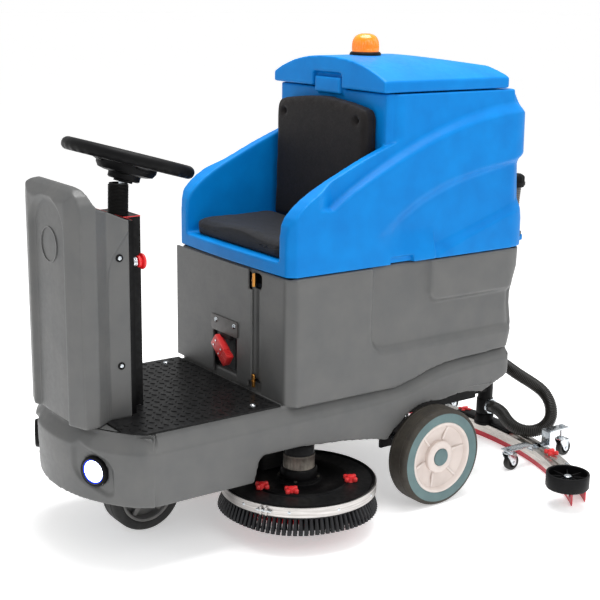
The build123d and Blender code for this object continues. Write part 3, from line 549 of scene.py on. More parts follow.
def make_recovery_tank():
    lower = prism("x", [(-484, 699), (-484, 735), (-330, 735), (-330, 699)], -280, 280)
    arm_outline = [(-484, 699), (-484, 800), (-480, 830), (-470, 850), (-452, 870), (-430, 888),
                   (-392, 911), (-350, 932), (-305, 952), (-270, 968), (-230, 985), (-165, 1010),
                   (-60, 1045), (-60, 699)]
    arm = prism("x", arm_outline, 229, 280)
    main = prism("z", rounded(280, 247, 50, (0, 89)), 699, 1146)
    seat_floor = prism("x", [(-340, 699), (-340, 740), (-140, 740), (-140, 699)], -280, 280)
    cuts = [block(-236, 236, -134, 250, 712, 1200)]
    # upright front corners and the lower hand grips
    corner = prism("z", [(252, -494), (296, -494), (296, -450)], 690, 1300)
    grip = prism("y", [(264, 690), (264, 716), (300, 722), (300, 690)], -158, -78)
    wall_edge = prism("z", [(240, -172), (292, -172), (292, -120)], 1022, 1300)
    for cut in (corner, grip, wall_edge):
        cuts += [cut, mirrored(cut)]
    tab = block(-58, 58, -174, -150, 1133, 1177)
    boss = block(181, 229, 318, 372, 702, 722)
    moulded("recovery_tank_skin", [lower, arm, mirrored(arm), main, seat_floor, tab, boss],
            cuts, BLUE, "recovery_tank", ["recovery_tank", "seat_shell"], 4.0, 5,
            shape_recovery_tank)
    hinge = Piece("tank_hinge", ZINC)
    for y in TILT_YS:
        hinge.add(rod((TILT_X, y - 13, TILT_Z), (TILT_X, y + 23, TILT_Z), 5))
        for y0 in (y - 12, y + 10.5):
            hinge.add(rod((TILT_X, y0, TILT_Z), (TILT_X, y0 + 11.5, TILT_Z), 7.5))
            hinge.add(block(-295.5, -278, y0, y0 + 11.5, 699, 712, 1))
    for x in LID_HINGE_XS:
        hinge.add(block(x, x + 10, 277, 288, 1143, 1155, 1))
        hinge.add(rod((x, LID_HINGE_Y, LID_HINGE_Z), (x + 10, LID_HINGE_Y, LID_HINGE_Z), 7.5))
    hinge.make("recovery_tank", "zinc")


def make_lid():
    z0 = LID_BOTTOM
    across = [-1 + i / 12 for i in range(25)]
    arch = [(254 * u, z0 + 30 + 54 * (1 - abs(u) ** 2.4)) for u in across]
    arch = [(254, z0)] + arch[::-1] + [(-254, z0)]
    shell = prism("y", arch, -175, 272)
    slope = prism("x", [(60, z0 + 86), (252, z0 + 58), (276, z0 + 30), (300, z0 + 30), (300, z0 + 130),
                        (60, z0 + 130)], -300, 300)
    recess = prism("y", [(-66, z0 - 2), (-66, z0 + 34), (-60, z0 + 40), (60, z0 + 40), (66, z0 + 34),
                         (66, z0 - 2)], -190, -158)
    inside = block(-242, 242, -150, 260, z0 - 5, z0 + 24)
    moulded("tank_lid_skin", [shell], [slope, recess, inside], BLUE, "tank_lid",
            ["tank_lid"], 4.0, 6)
    hinge = Piece("lid_hinge", ZINC)
    for x in LID_HINGE_XS:
        for x0 in (x - 12, x + 10.5):
            hinge.add(rod((x0, LID_HINGE_Y, LID_HINGE_Z), (x0 + 11.5, LID_HINGE_Y, LID_HINGE_Z), 6.5))
            hinge.add(block(x0, x0 + 11.5, 264, 281, 1150, 1160, 1))
    hinge.make("tank_lid", "zinc")


def shape_solution_tank(x, y, z):
    side = np.abs(x)
    # a wide recess bounded by a rounded U, and a raised panel within it
    recess = rounded_box_distance(y, z, -212, 900, 462, 1100, 48)
    panel = rounded_box_distance(y, z, -12, 900, 577, 1100, 30)
    depth = 15 * ease(-recess / 20 + 0.5) - 13 * ease(-panel / 16 + 0.5)
    inset = depth * np.clip((side - 255) / 15, 0, 1)
    x -= np.sign(x) * inset
    steps = np.interp(z, [400, 440, 470, 530, 560, 600, 640, 698], [-14, -4, 0, -10, -10, -2, 10, 12])
    y += steps * np.clip((y - 280) / 30, 0, 1)
    return x, y, z


def make_solution_tank():
    plan = [(-280, -460), (-256, -484), (256, -484), (280, -460), (280, 282)]
    plan += [polar(48, a, 232, 282) for a in range(10, 91, 10)]
    plan += [(-x, y) for x, y in plan[:4:-1]] + [(-280, 282)]
    body = prism("z", plan, 350, 697)
    under = prism("x", [(-500, 340), (-500, 352), (-345, 352), (-126, 351), (-60, 366), (0, 384), (60, 395),
                        (308, 404), (420, 406), (420, 340)], -300, 300)
    cuts = [
        under,
        block(-262, 262, -476, -90, 384, 800),
        block(-262, 100, -500, -470, 384, 684),
        block(-266, 266, -74, 310, 421, 800),
        # the gutter that the door's hinge stands in
        block(113, 134, -500, -477, 340, 710),
        block(110, 146, -500, -474, 646, 684),
        block(110, 146, -500, -474, 356, 392),
    ]
    moulded("solution_tank_skin", [body], cuts, GRAY, "chassis", ["solution_tank"],
            4.5, 5, shape_solution_tank)
    ears = Piece("tank_hinge_ears", ZINC)
    for y in TILT_YS:
        ears.add(rod((TILT_X, y, TILT_Z), (TILT_X, y + 10, TILT_Z), 7.5))
        ears.add(block(-295.5, -277, y, y + 10, 686, 697, 1))
    ears.make("chassis", "zinc")


def make_door():
    """The battery door, bowed a little, with its cut-out."""
    def bow(x, y, z):
        y += 2.5 * (np.clip((x + 82) / 200, -1, 1) ** 2)
        return x, y, z
    panel = block(-277, 112, -492, -484.5, 370, 693)
    window = block(-77, 42, -510, -470, 352, 494)
    notch = block(96, 120, -510, -470, 640, 700)
    low_notch = block(98, 120, -510, -470, 360, 388)
    moulded("battery_door_skin", [panel], [window, notch, low_notch], GRAY, "battery_door",
            ["battery_door"], 3.0, 3)
    plate = Piece("connector_plate_skin", PLATE, ZINC)
    outline = rounded(66.5, 22, 5, (-17.5, 514))
    plate.add(prism("y", outline, -495.2, -492, 0.6))
    for x in (-60, 32):
        plate.turned([(7.4, 0), (7.2, 0.8), (6.0, 2.4), (3.2, 3.2), (3, 2), (0.1, 2)], (x, -495, 522),
                     (0, -1, 0), 20, 1)
    plate.make("battery_door", "black_plastic", "connector_plate")
    red = Piece("battery_connector_skin", RED, BLACK, ZINC)
    tilt = rotation(38, "Y")

    def tilted(form):
        return moved(form, (-18, -499, 444), tilt)
    red.add(tilted(block(-44, 12, -11, 11, -19, 19, 3)))
    red.add(tilted(block(12, 40, -10, 10, -17, 17, 2.5)))
    for k in range(5):
        red.add(tilted(block(14 + 5.4 * k, 17 + 5.4 * k, -11.6, 10, -19, 19, 1)))
    for z in (-9, 9):
        red.add(tilted(block(-45.5, -43, -7, 7, z - 6, z + 6, 0.6)), 1)
        red.add(tilted(rod((-30, -12.6, z), (-30, -10, z), 3, 14, 0.4)), 2)
        red.add(tilted(rod((2, -12.6, z), (2, -10, z), 3, 14, 0.4)), 2)
    red.add(block(-52, 16, -495, -486, 478, 493, 3), 1)
    red.make("battery_door", "red_plastic", "battery_connector")
    pins = Piece("hinge_pins_skin", BRASS)
    x, y = 121, -489
    for z in (374, 650):
        pins.add(rod((x, y, z), (x, y, z + 36), 5, 20))
        pins.turned([(5.2, 0), (6.4, 0.6), (6.4, 3.6), (5.2, 4.2)], (x, y, z + 15), UP, 20)
    pins.make("chassis", "brass")


# ---- base

FLARE_TOP = [(-1000, 352), (-345, 352), (-200, 352), (-126, 354), (-60, 366), (0, 386), (60, 396),
             (160, 402), (308, 408), (400, 410)]
# the nose is an arc about this Y, and the headlights stand this many degrees off its middle
NOSE_CENTRE = -640
NOSE_RADIUS = 385
LIGHT_ANGLE = 25.5
LIGHT_Z = 257


def arch_height(y):
    """Where the wheel arch's raised lip runs, by Y."""
    return np.interp(y, [-130, -100, -60, -20, 30, 80, 120, 160, 200],
                     [206, 228, 262, 284, 296, 296, 288, 270, 246])


def smoothed(y, points, width=30):
    """A polyline's height, averaged over a little of its length."""
    ys, zs = zip(*points)
    return sum(np.interp(y + d, ys, zs) for d in np.linspace(-width, width, 9)) / 9


def shape_base(x, y, z):
    side = np.abs(x)
    top = smoothed(y, FLARE_TOP)
    # the upper edge leans in all round, and the walls draw in a little towards the skirt
    lean = 25 * (1 - np.clip((top - z) / 36, 0, 1))
    inset = lean + 7 * ease((top - 60 - z) / 120)
    lip = 9 * ease((arch_height(y) + 14 - z) / 22) * ease((z - arch_height(y) + 26) / 10)
    lip *= ease((y + 150) / 40) * ease((215 - y) / 40)
    # the nose moves towards the middle of its arc, and the sides straight in
    reach = np.hypot(x, y - NOSE_CENTRE)
    bow = (y < NOSE_CENTRE) & (reach > 361)
    pull = np.clip((side - 255) / 20, 0, 1) * (inset - lip)
    x -= np.sign(x) * np.where(y > -880, pull, 0)
    # each headlight sits in a shallow three-sided pocket
    around = np.degrees(np.arctan2(side, NOSE_CENTRE - y)) - LIGHT_ANGLE
    pocket = rounded_box_distance(around * 6.7, z + 0.35 * around * 6.7, -66, 56, 212, 306, 26)
    inset = inset + 7 * ease(-pocket / 12 + 0.5)
    scale = np.where(bow, np.clip((reach - 361) / 16, 0, 1) * inset / np.maximum(reach, 1), 0)
    x -= x * scale
    y -= (y - NOSE_CENTRE) * scale
    y -= np.clip((y - 300) / 20, 0, 1) * inset
    return x, y, z


def base_outline(inset=0.0):
    """The base seen from above: nose arc, straight sides and rounded rear corners."""
    half, rear = 285 - inset, 330 - inset
    radius, corner = NOSE_RADIUS - inset, 52 - inset
    points = []
    for i in range(-23, 24):
        p = polar(radius, -90 + i * 2.0, 0, NOSE_CENTRE)
        if abs(p[0]) < half - corner * 0.42:
            points.append(p)
    side_y = NOSE_CENTRE - sqrt(radius ** 2 - half ** 2)
    points.append((half - corner * 0.12, side_y + corner * 0.08))
    points.append((half, side_y + corner * 0.62))
    points += [polar(corner, a, half - corner, rear - corner) for a in range(0, 91, 15)]
    left = [(-x, y) for x, y in points if x > 0][::-1]
    return [p for p in points if p[0] >= 0] + [p for p in left if p[0] < 0]


def light_point(sign, ahead):
    """A point on a headlight's axis, a distance ahead of the nose's skin."""
    turn = radians(LIGHT_ANGLE)
    reach = NOSE_RADIUS + ahead
    return sign * sin(turn) * reach, NOSE_CENTRE - cos(turn) * reach, LIGHT_Z


def make_base():
    below = [(-1120, 100), (-1100, 176), (-588, 176), (-584, 190), (-574, 236), (-560, 247), (-451, 246),
             (-300, 232), (-200, 216), (-150, 204), (-128, 232), (-100, 250), (-40, 276), (33, 290),
             (100, 296), (150, 292), (200, 283), (297, 322), (360, 352), (380, 352), (380, 100)]
    above = [(-1120, 360), (-345, 360), (-126, 360), (-60, 366), (0, 382), (60, 396), (308, 404), (380, 408),
             (380, 500), (-1120, 500)]
    cuts = [prism("x", below, -400, 400), prism("x", above, -400, 400),
            prism("z", base_outline(8), 100, 352), block(-277, 277, 20, 322, 100, 390),
            rod((0, -767, 330), (0, -767, 420), 43)]
    for s in (1, -1):
        cuts.append(rod(light_point(s, -40), light_point(s, 40), 38.5, 32))
        cuts.append(rod((s * 260, 0, REAR_Z), (s * 350, 0, REAR_Z), 152, 64))
    moulded("base_shell_skin", [prism("z", base_outline(0), 150, 412)], cuts, GRAY, "chassis",
            ["base_shell"], 4.0, 4, shape_base)
    panel = Piece("service_panel_line", GRAY_DARK)
    corners = [(132, 362), (231, 352), (234, 303), (134, 309)]
    for (ya, za), (yb, zb) in zip(corners, corners[1:]):
        line = Vector((0, yb - ya, zb - za)).normalized()
        up = Vector((0, -line.z, line.y)) * 0.9
        quad = [(ya + up.y, za + up.z), (yb + up.y, zb + up.z), (yb - up.y, zb - up.z),
                (ya - up.y, za - up.z)]
        panel.pair(prism("x", quad, 277, 284.4))
    panel.make("chassis", "gray_moulding")


# ---- seat

def make_pad(node, form, cap, mat, change):
    """A foam pad: remeshed, blown up by cloth pressure to the cap in millimetres, smoothed and shaped."""
    name = node + "_skin"
    rough = temporary(form)
    remeshed(rough, 5)
    mesh = evaluated(rough)
    bpy.data.objects.remove(rough)
    pad = link(name, mesh)
    start = np.empty(len(mesh.vertices) * 3)
    mesh.vertices.foreach_get("co", start)
    cloth = pad.modifiers.new("cloth", "CLOTH")
    cloth.settings.use_pressure = True
    cloth.settings.uniform_pressure_force = 4
    cloth.settings.effector_weights.gravity = 0
    cloth.settings.quality = 4
    cloth.point_cache.frame_start, cloth.point_cache.frame_end = 1, 20
    for step in range(1, 21):
        scene.frame_set(step)
    blown = evaluated(pad)
    end = np.empty(len(blown.vertices) * 3)
    blown.vertices.foreach_get("co", end)
    pad.modifiers.remove(cloth)
    shift = (end - start).reshape(-1, 3)
    far = np.linalg.norm(shift, axis=1, keepdims=True)
    shift *= np.minimum(1, cap / 1000 / np.maximum(far, 1e-9))
    mesh.vertices.foreach_set("co", start + shift.ravel())
    mesh.update()
    scene.frame_set(1)
    soften(pad, 4)
    mod = pad.modifiers.new("finer", "SUBSURF")
    mod.levels = mod.render_levels = 1
    done = evaluated(pad)
    bpy.data.objects.remove(pad)
    done.materials.clear()
    done.materials.append(mat)
    sculpt(done, change)
    settle(done, name, "recovery_tank", [node], smooth=0)


def make_cushion():
    outline = rounded(218, 132, 26, (0, -340))

    def change(x, y, z):
        y = np.clip(y, -480, -204)
        x = np.clip(x, -228, 228)
        front = ease((-y - 400) / 80)
        high = z > 760
        # wavy front edge: dips between the thighs, and a dished middle
        wave = 7 * np.cos(x / 222 * pi * 1.5) * front
        dish = -7 * np.exp(-(x / 130) ** 2 - ((y + 330) / 90) ** 2)
        z = z + np.where(high, wave + dish, 0)
        # the sides pull in below the top's rolled edge
        seam = np.exp(-((z - 748) / 5) ** 2)
        edge = np.clip(np.maximum((np.abs(x) - 200) / 20, (np.abs(y + 340) - 112) / 20), 0, 1)
        x -= np.sign(x) * 2.5 * seam * edge
        return x, y, np.clip(z, 736.5, 796)
    make_pad("seat_cushion", prism("z", outline, 738, 776), 7, FOAM_SEAT, change)


def make_backrest():
    outline = [(-220, 770), (-212, 1040), (-210, 1088), (-202, 1104), (-182, 1112), (-138, 1119),
               (-80, 1126), (-24, 1130), (30, 1130), (117, 1122), (176, 1112), (202, 1104), (210, 1088),
               (212, 1040), (220, 770), (212, 762), (-212, 762)]

    def change(x, y, z):
        y = np.clip(y, -206, -158.6)
        front = y < -180
        dish = 5 * np.exp(-(x / 150) ** 2 - ((z - 930) / 150) ** 2)
        rim = np.clip(np.maximum(np.abs(x) / 214, np.abs(z - 940) / 180), 0, 1)
        y = y + np.where(front, dish, 0)
        groove = np.exp(-((y + 168) / 4) ** 2) * np.clip((rim - 0.9) / 0.06, 0, 1)
        x = x * (1 - 0.012 * groove)
        for sx in (-1, 1):
            dimple = np.exp(-((x - sx * 166) ** 2 + (z - 1072) ** 2) / 90)
            y = y + np.where(front, 13 * dimple, 0)
        return x, y, z
    make_pad("backrest", prism("y", outline, -196, -162), 6, FOAM, change)
    screws = Piece("backrest_screw_heads", STEEL_BLACK)
    for s in (-1, 1):
        screws.turned([(5, 0), (5, 1.6), (3.4, 2.6), (2, 2.6), (2, 1.2), (0.1, 1.2)],
                      (s * 166, -188, 1072), (0, -1, 0), 18)
    screws.make("recovery_tank", "black_steel", "backrest_screws")


# ---- cowl, column and steering

COWL_PLAN = [(-128, -854), (-128, -917), (-156, -959), (-156, -998), (-104, -1016), (-52, -1019),
             (0, -1020), (52, -1019), (104, -1016), (156, -998), (156, -959), (128, -917), (128, -854)]


def shape_cowl(x, y, z):
    side = np.abs(x)
    # arched recess in the front face
    recess = rounded_box_distance(x, z, -92, 92, 200, 912, 78)
    y += 13 * ease(-recess / 17 + 0.5) * (y < -985)
    # the rear flanks sit a little inside the main shell, along a slanting line
    line = np.interp(z, [360, 700, 745, 775, 835], [-917, -917, -913, -902, -858])
    x -= np.sign(x) * 4 * ease((y - line) / 4) * (side > 112) * (y > -930)
    return x, y, z


def make_cowl():
    profile = [(-1060, 900), (-1022, 902), (-1014, 920), (-1002, 940), (-991, 950), (-982, 950), (-974, 943),
               (-968, 928), (-961, 912), (-950, 900), (-935, 893), (-917, 888), (-856, 861), (-840, 861),
               (-840, 1000), (-1060, 1000)]
    crown = [(-200, 880), (-156, 890), (-152, 912), (-140, 932), (-120, 944), (-96, 950), (96, 950),
             (120, 944), (140, 932), (152, 912), (156, 890), (200, 880), (200, 1000), (-200, 1000)]
    inner = [(x * 0.95, y + 15 if y < -960 else y + 4) for x, y in COWL_PLAN]
    cuts = [
        prism("x", profile, -250, 250), prism("y", crown, -1060, -930),
        prism("z", inner, 340, 858),
        block(-117, 117, -947, -840, 340, 1000),
    ]
    moulded("front_cowl_skin", [prism("z", COWL_PLAN, 361, 960)], cuts, GRAY, "chassis",
            ["front_cowl"], 3.6, 2, shape_cowl)
    badge = Piece("cowl_badge_ring", GRAY_DARK)
    badge.ring([(42, 0), (44.5, 0), (44.5, 2.4), (42, 2.4)], (0, -1006.6, 797), (0, -1, 0), 72)
    badge.make("chassis", "gray_moulding")
    bolts = Piece("cowl_fixings", BLACK, ZINC)
    for z in (499, 771):
        for s in (1, -1):
            washer = [(9.5, 0), (9.5, 2.2), (7.4, 3.4), (5.4, 3.4), (5.4, 1), (0.1, 1)]
            head = [(5.2, 1), (5.0, 3.6), (3.6, 4.6), (2.2, 4.6), (2.2, 3.2), (0.1, 3.2)]
            bolts.turned(washer, (s * 124, -882, z), (s, 0, 0), 28)
            bolts.turned(head, (s * 124, -882, z), (s, 0, 0), 24, 1)
    bolts.make("chassis", "black_steel", "cover_fixings")


COLUMN_TOP_Z = 858
STOP_BUTTON = (104, -838, 752)


def make_column_details():
    trim = Piece("column_trim", RED, ZINC, BLACK)
    trim.add(block(-62.4, 62.4, -790.4, -789.4, 856, 858.4, 0.3))
    trim.pair(block(61.6, 62.5, -838, -790, 856, 858.4, 0.3))
    trim.add(block(-110, 110, -839, -837.4, 856.4, 858.3, 0.3))
    for x in (-88, -56, 56, 88):
        trim.turned([(4, 0), (3.8, 1.4), (2.4, 2.2), (0.1, 2.2)], (x, -900, COLUMN_TOP_Z), UP, 16, 1)
    trim.ring([(11, 0.2), (12.8, 0.2), (12.8, 7), (12.4, 7.6), (12.8, 8.2), (12.8, 10), (11, 10.6)],
              STOP_BUTTON, (0, 1, 0), 36, 1)
    trim.make("chassis", "zinc")
    folds = [(radius, i * 3.5 + up) for i in range(21)
             for radius, up in ((25.5, 0), (26.2, 0.9), (25.5, 1.8), (22.6, 2.7))]
    boot = [(18, -1), (27.5, -1), (27.5, 1)] + folds[2:] + [(23.5, 73.5), (23.5, 76), (17, 76.5), (17, 0)]
    bellows = Piece("bellows_skin", RUBBER)
    bellows.turned(boot, (0, -819, 857.5), (0, 0.03, 1), 40)
    bellows.make("chassis", "black_rubber", "bellows")
    stop = Piece("estop_button_skin", RED)
    knurl = lambda a, i: 1 + (0.025 * cos(20 * a) if i in (3, 4) else 0)
    stop.turned([(7.5, 7), (7.5, 14), (13.5, 15), (14.2, 17), (14.2, 21), (13, 22.5), (17, 24), (20, 26),
                 (20.2, 28.5), (18.8, 31.5), (14, 33.2), (0.1, 34)], STOP_BUTTON, (0, 1, 0), 60,
                wave=knurl)
    stop.make("estop_button", "red_plastic", "estop_button")


def make_steering_wheel():
    centre = (0, -787, 994)
    tilt = rotation(-16, "X")

    def tilted(form):
        return moved(form, centre, tilt)
    wheel = Piece("steering_wheel_skin", BLACK)
    rim = [(152 + 17 * cos(radians(t)), 16.5 * sin(radians(t)))
           for t in range(0, 360, 15)]

    def grips(angle, i):
        under = max(0.0, -sin(radians(i * 15)))
        return 1 - 0.02 * under * (0.5 + 0.5 * cos(34 * angle)) + 0.008 * under
    wheel.add(tilted(lathe(rim, (0, 0, 0), UP, 272, closed=True, wave=grips)))
    # console bowl under the rim, with its stepped collar
    wheel.add(tilted(lathe([(0.1, 16), (34, 15), (37, 13), (38, 8), (62, 5), (74, -2), (78, -10), (77, -26),
                            (70, -37), (54, -41), (42, -42), (41, -44), (41, -54), (37, -57), (24, -57),
                            (24, -62), (0.1, -62)], (0, 0, 0), UP, 72)))
    for turn in (0, 180, 270):
        spin = rotation(turn)
        outline = [(50, -28), (100, -22), (143, -17), (143, 17), (100, 22), (50, 28)]
        spoke = prism("z", outline, -13, 5, 4, 3)
        brace = prism("y", [(58, -30), (104, -12), (104, -8), (58, -8)], -14, 14, 3, 2)
        wheel.add(tilted(moved(spoke, (0, 0, 0), spin)))
        wheel.add(tilted(moved(brace, (0, 0, 0), spin)))
    wheel.make("steering_wheel", "black_plastic", "steering_wheel", smooth=32)


# ---- headlights, footplate, beacon, drain

def make_headlights():
    for sign, side in SIDES:
        origin = light_point(sign, -8)
        axis = Vector(light_point(sign, 10)) - Vector(origin)
        bezel = Piece(side + "_headlight_bezel", BLACK, LENS_RING)
        bezel.ring([(30.5, -14), (38, -14), (38, 4), (37, 9), (34.5, 11.6), (32, 11), (30.5, 6)], origin,
                   axis, 64)
        bezel.ring([(27.6, 1), (30.4, 1), (30.4, 6.4), (29.4, 7.2), (27.6, 6.4)], origin, axis, 64, 1)
        bezel.make("chassis", "black_plastic", *(["headlight_bezels"] if sign > 0 else []))
        lens = Piece(side + "_headlight_lens", LENS)
        lens.turned([(27.5, -6), (27.5, 5.2), (24, 6.4), (12, 7.4), (0.1, 7.6)], origin, axis,
                    wave=lambda a, i: 1 + (0.004 * cos(24 * a) if i else 0))
        lens.make("chassis", "lamp_glass", *(["headlight_lenses"] if sign > 0 else []))


def on_footplate(x, y):
    """Whether a lug at this place stands clear of the plate's edge, the cowl and the column."""
    nose = hypot(x, y - NOSE_CENTRE) < 352 or y > NOSE_CENTRE
    cowl = abs(x) < 170 and y < -840
    return abs(x) < 252 and y < -508 and nose and not cowl and not (abs(x) < 74 and y < -778)


def make_footplate():
    lugs = Piece("footplate_lugs", STEEL_BLACK, ZINC)
    pitch = 22
    for row in range(20):
        for column in range(-12, 13):
            x = column * pitch + (pitch / 2 if row % 2 else 0)
            y = -928 + row * pitch
            if not on_footplate(x, y):
                continue
            turn = rotation(40 if (row + column) % 2 else -40)
            drop = [(-8, 0), (-3, -2), (5, -2.2), (8, 0), (5, 2.2), (-3, 2)]
            lugs.add(moved(prism("z", drop, 0, 1.7, 0.7, 1), (x, y, 364.9), turn))
    for x, y in ((-226, -560), (226, -560)):
        lugs.turned([(8, 0), (7.8, 1.6), (6.2, 3.6), (3.4, 4.6), (3.2, 3), (0.1, 3)], (x, y, 364.8), UP,
                    24, 1)
    lugs.make("chassis", "black_steel")


def make_beacon():
    top = LID_BOTTOM + 84
    base = Piece("beacon_base_skin", BLACK)
    base.turned([(44, 0), (44, 4), (42, 7), (39, 9), (0.1, 9)], (0, -42, top), UP, 60)
    base.make("tank_lid", "black_rubber", "beacon_base")
    dome = Piece("beacon_dome_skin", AMBER)
    ridge = lambda a, i: 1 + (0.02 * cos(36 * a) if 1 < i < 6 else 0)
    dome.turned([(37.5, 9), (38, 12), (37.2, 15), (37.2, 24), (36.6, 32), (35.6, 38), (33.4, 45),
                 (29, 51), (22, 55.6), (12, 58.4), (0.1, 59)], (0, -42, top), UP, 108, wave=ridge)
    dome.make("tank_lid", "amber", "beacon_dome")


def make_drain():
    x, y = 205, 362
    drain = Piece("drain_hose_skin", DRAIN, BLACK)
    points = [(x, y - 6 * sin(pi * i / 89), 722 + 138 * i / 89) for i in range(90)]
    radii = [19 + 2 * (1, 0.4, 0, 0.4)[i % 4] for i in range(90)]
    drain.add(sweep(points, radii, 28))
    ribs = lambda a, i: 1 + (0.03 * cos(16 * a) if 1 < i < 6 else 0)
    drain.turned([(20, 0), (27, 2), (27.5, 6), (27.5, 30), (26, 33), (23, 36), (18, 39), (0.1, 40)],
                 (x, y, 858), UP, 64, 1, wave=ribs)
    drain.ring([(20, 0), (26, 0), (26, 12), (22, 14), (20, 14)], (x, y, 716), slot=1)
    strap = [(336, 872), (350, 872), (350, 868), (336, 868)]
    drain.add(prism("x", strap, x - 7, x + 7, 0.8), 1)
    drain.ring([(28, 0), (30.4, 0), (30.4, 9), (28, 9)], (x, y, 865), slot=1)
    drain.make("recovery_tank", "drain_gray", "drain_hose")


# ---- wheels

REAR_X, REAR_Z = 305, 140
FRONT_WHEEL = (0, -767, 102)


def make_rear_wheels():
    for sign, side in SIDES:
        origin, axis = (sign * REAR_X, 0, REAR_Z), (sign, 0, 0)
        tyre = Piece(side + "_tyre_skin", TREAD, SIDEWALL)
        tyre.ring([(104, -35), (112, -37), (130, -36.4), (137, -33), (139.6, -28), (140, -20),
                   (138.6, -19), (138.6, -17), (140, -16), (140, 16), (138.6, 17), (138.6, 19), (140, 20),
                   (139.6, 28), (137, 33), (130, 36.2), (112, 36), (104, 34)], origin, axis, 96)
        tyre.ring([(101, 30), (103, 36.2), (107, 37), (122, 37), (128, 36.6), (129.4, 35), (127, 30)],
                  origin, axis, 96, 1)
        tyre.make(side + "_wheel", "tyre_rubber", side + "_tyre")
        hub = Piece(side + "_hub_skin", HUB, SIDEWALL)
        hub.ring([(13, -34), (103, -34), (103, 34), (101, 36.4), (97, 36.6), (93, 33), (89, 24), (60, 14),
                  (47, 16), (46, 27), (43, 30), (38, 31), (26, 31), (24, 28), (13, 28)], origin, axis, 96)
        for k in range(6):
            a = radians(60 * k + 12)
            ends = [(sign * (REAR_X + 16 + 9 * t), cos(a) * r, REAR_Z + sin(a) * r)
                    for r, t in ((48, 0), (90, 0.9))]
            hub.add(rod(ends[0], ends[1], 3.4, 12, 1))
        hub.turned([(24.5, 27), (24.5, 32.5), (22.5, 34.6), (19, 35.2), (0.1, 35.6)], origin, axis,
                   slot=1)
        hub.make(side + "_wheel", "hub_plastic", side + "_hub")


def make_front_wheel():
    origin, axis = FRONT_WHEEL, (1, 0, 0)
    tyre = Piece("front_tyre_skin", FRONT_TYRE)
    tyre.ring([(76, -36), (80, -38.6), (94, -38.4), (99, -35), (101.6, -29), (102, -20), (100.4, -19),
               (100.4, -16), (102, -15), (102, 15), (100.4, 16), (100.4, 19), (102, 20), (101.6, 29),
               (99, 35), (94, 38.4), (80, 38.6), (76, 36)], origin, axis, 80)
    tyre.make("front_wheel", "front_tyre_rubber", "front_tyre")
    rim = Piece("front_rim_skin", RIM)
    rim.ring([(66, -37), (76, -37), (76, 37), (73, 38.6), (69, 37), (66, 30)], origin, axis, 80)
    rim.ring([(12, -36), (30, -36), (66, -30), (70, -20), (70, 12), (60, 14), (30, 22), (27, 33),
              (22, 35), (12, 35)], origin, axis, 72)
    for k in range(5):
        spoke = prism("x", [(24, -9), (68, -6), (68, 6), (24, 9)], 16, 29, 3, 2)
        rim.add(moved(spoke, origin, rotation(72 * k + 20, "X")))
    rim.turned([(15, 30), (15, 36), (12, 38), (0.1, 38.4)], origin, axis, 6)
    rim.make("front_wheel", "rim_gray", "front_rim")


# ---- scrubbing deck

DECK_X, DECK_Y = 220, -407


def star_knob(x, y, z, turn=0.3):
    """A red hand nut with four rounded arms and a raised boss."""
    forms = [lathe([(12, 0), (12, 3), (10, 6), (10.5, 14), (9.5, 16.6), (6, 18), (0.1, 18)], (x, y, z),
                   UP, 28)]
    for k in range(4):
        a = turn + k * pi / 2
        tip = (x + 16 * cos(a), y + 16 * sin(a), z)
        forms.append(lathe([(5, 3), (6.2, 5), (6.2, 12), (4.6, 14.4), (0.1, 15)], tip, UP, 18))
        forms.append(moved(block(0, 16, -4.6, 4.6, 3.6, 12.4, 1.6), (x, y, z), Matrix.Rotation(a, 3, "Z")))
    return forms


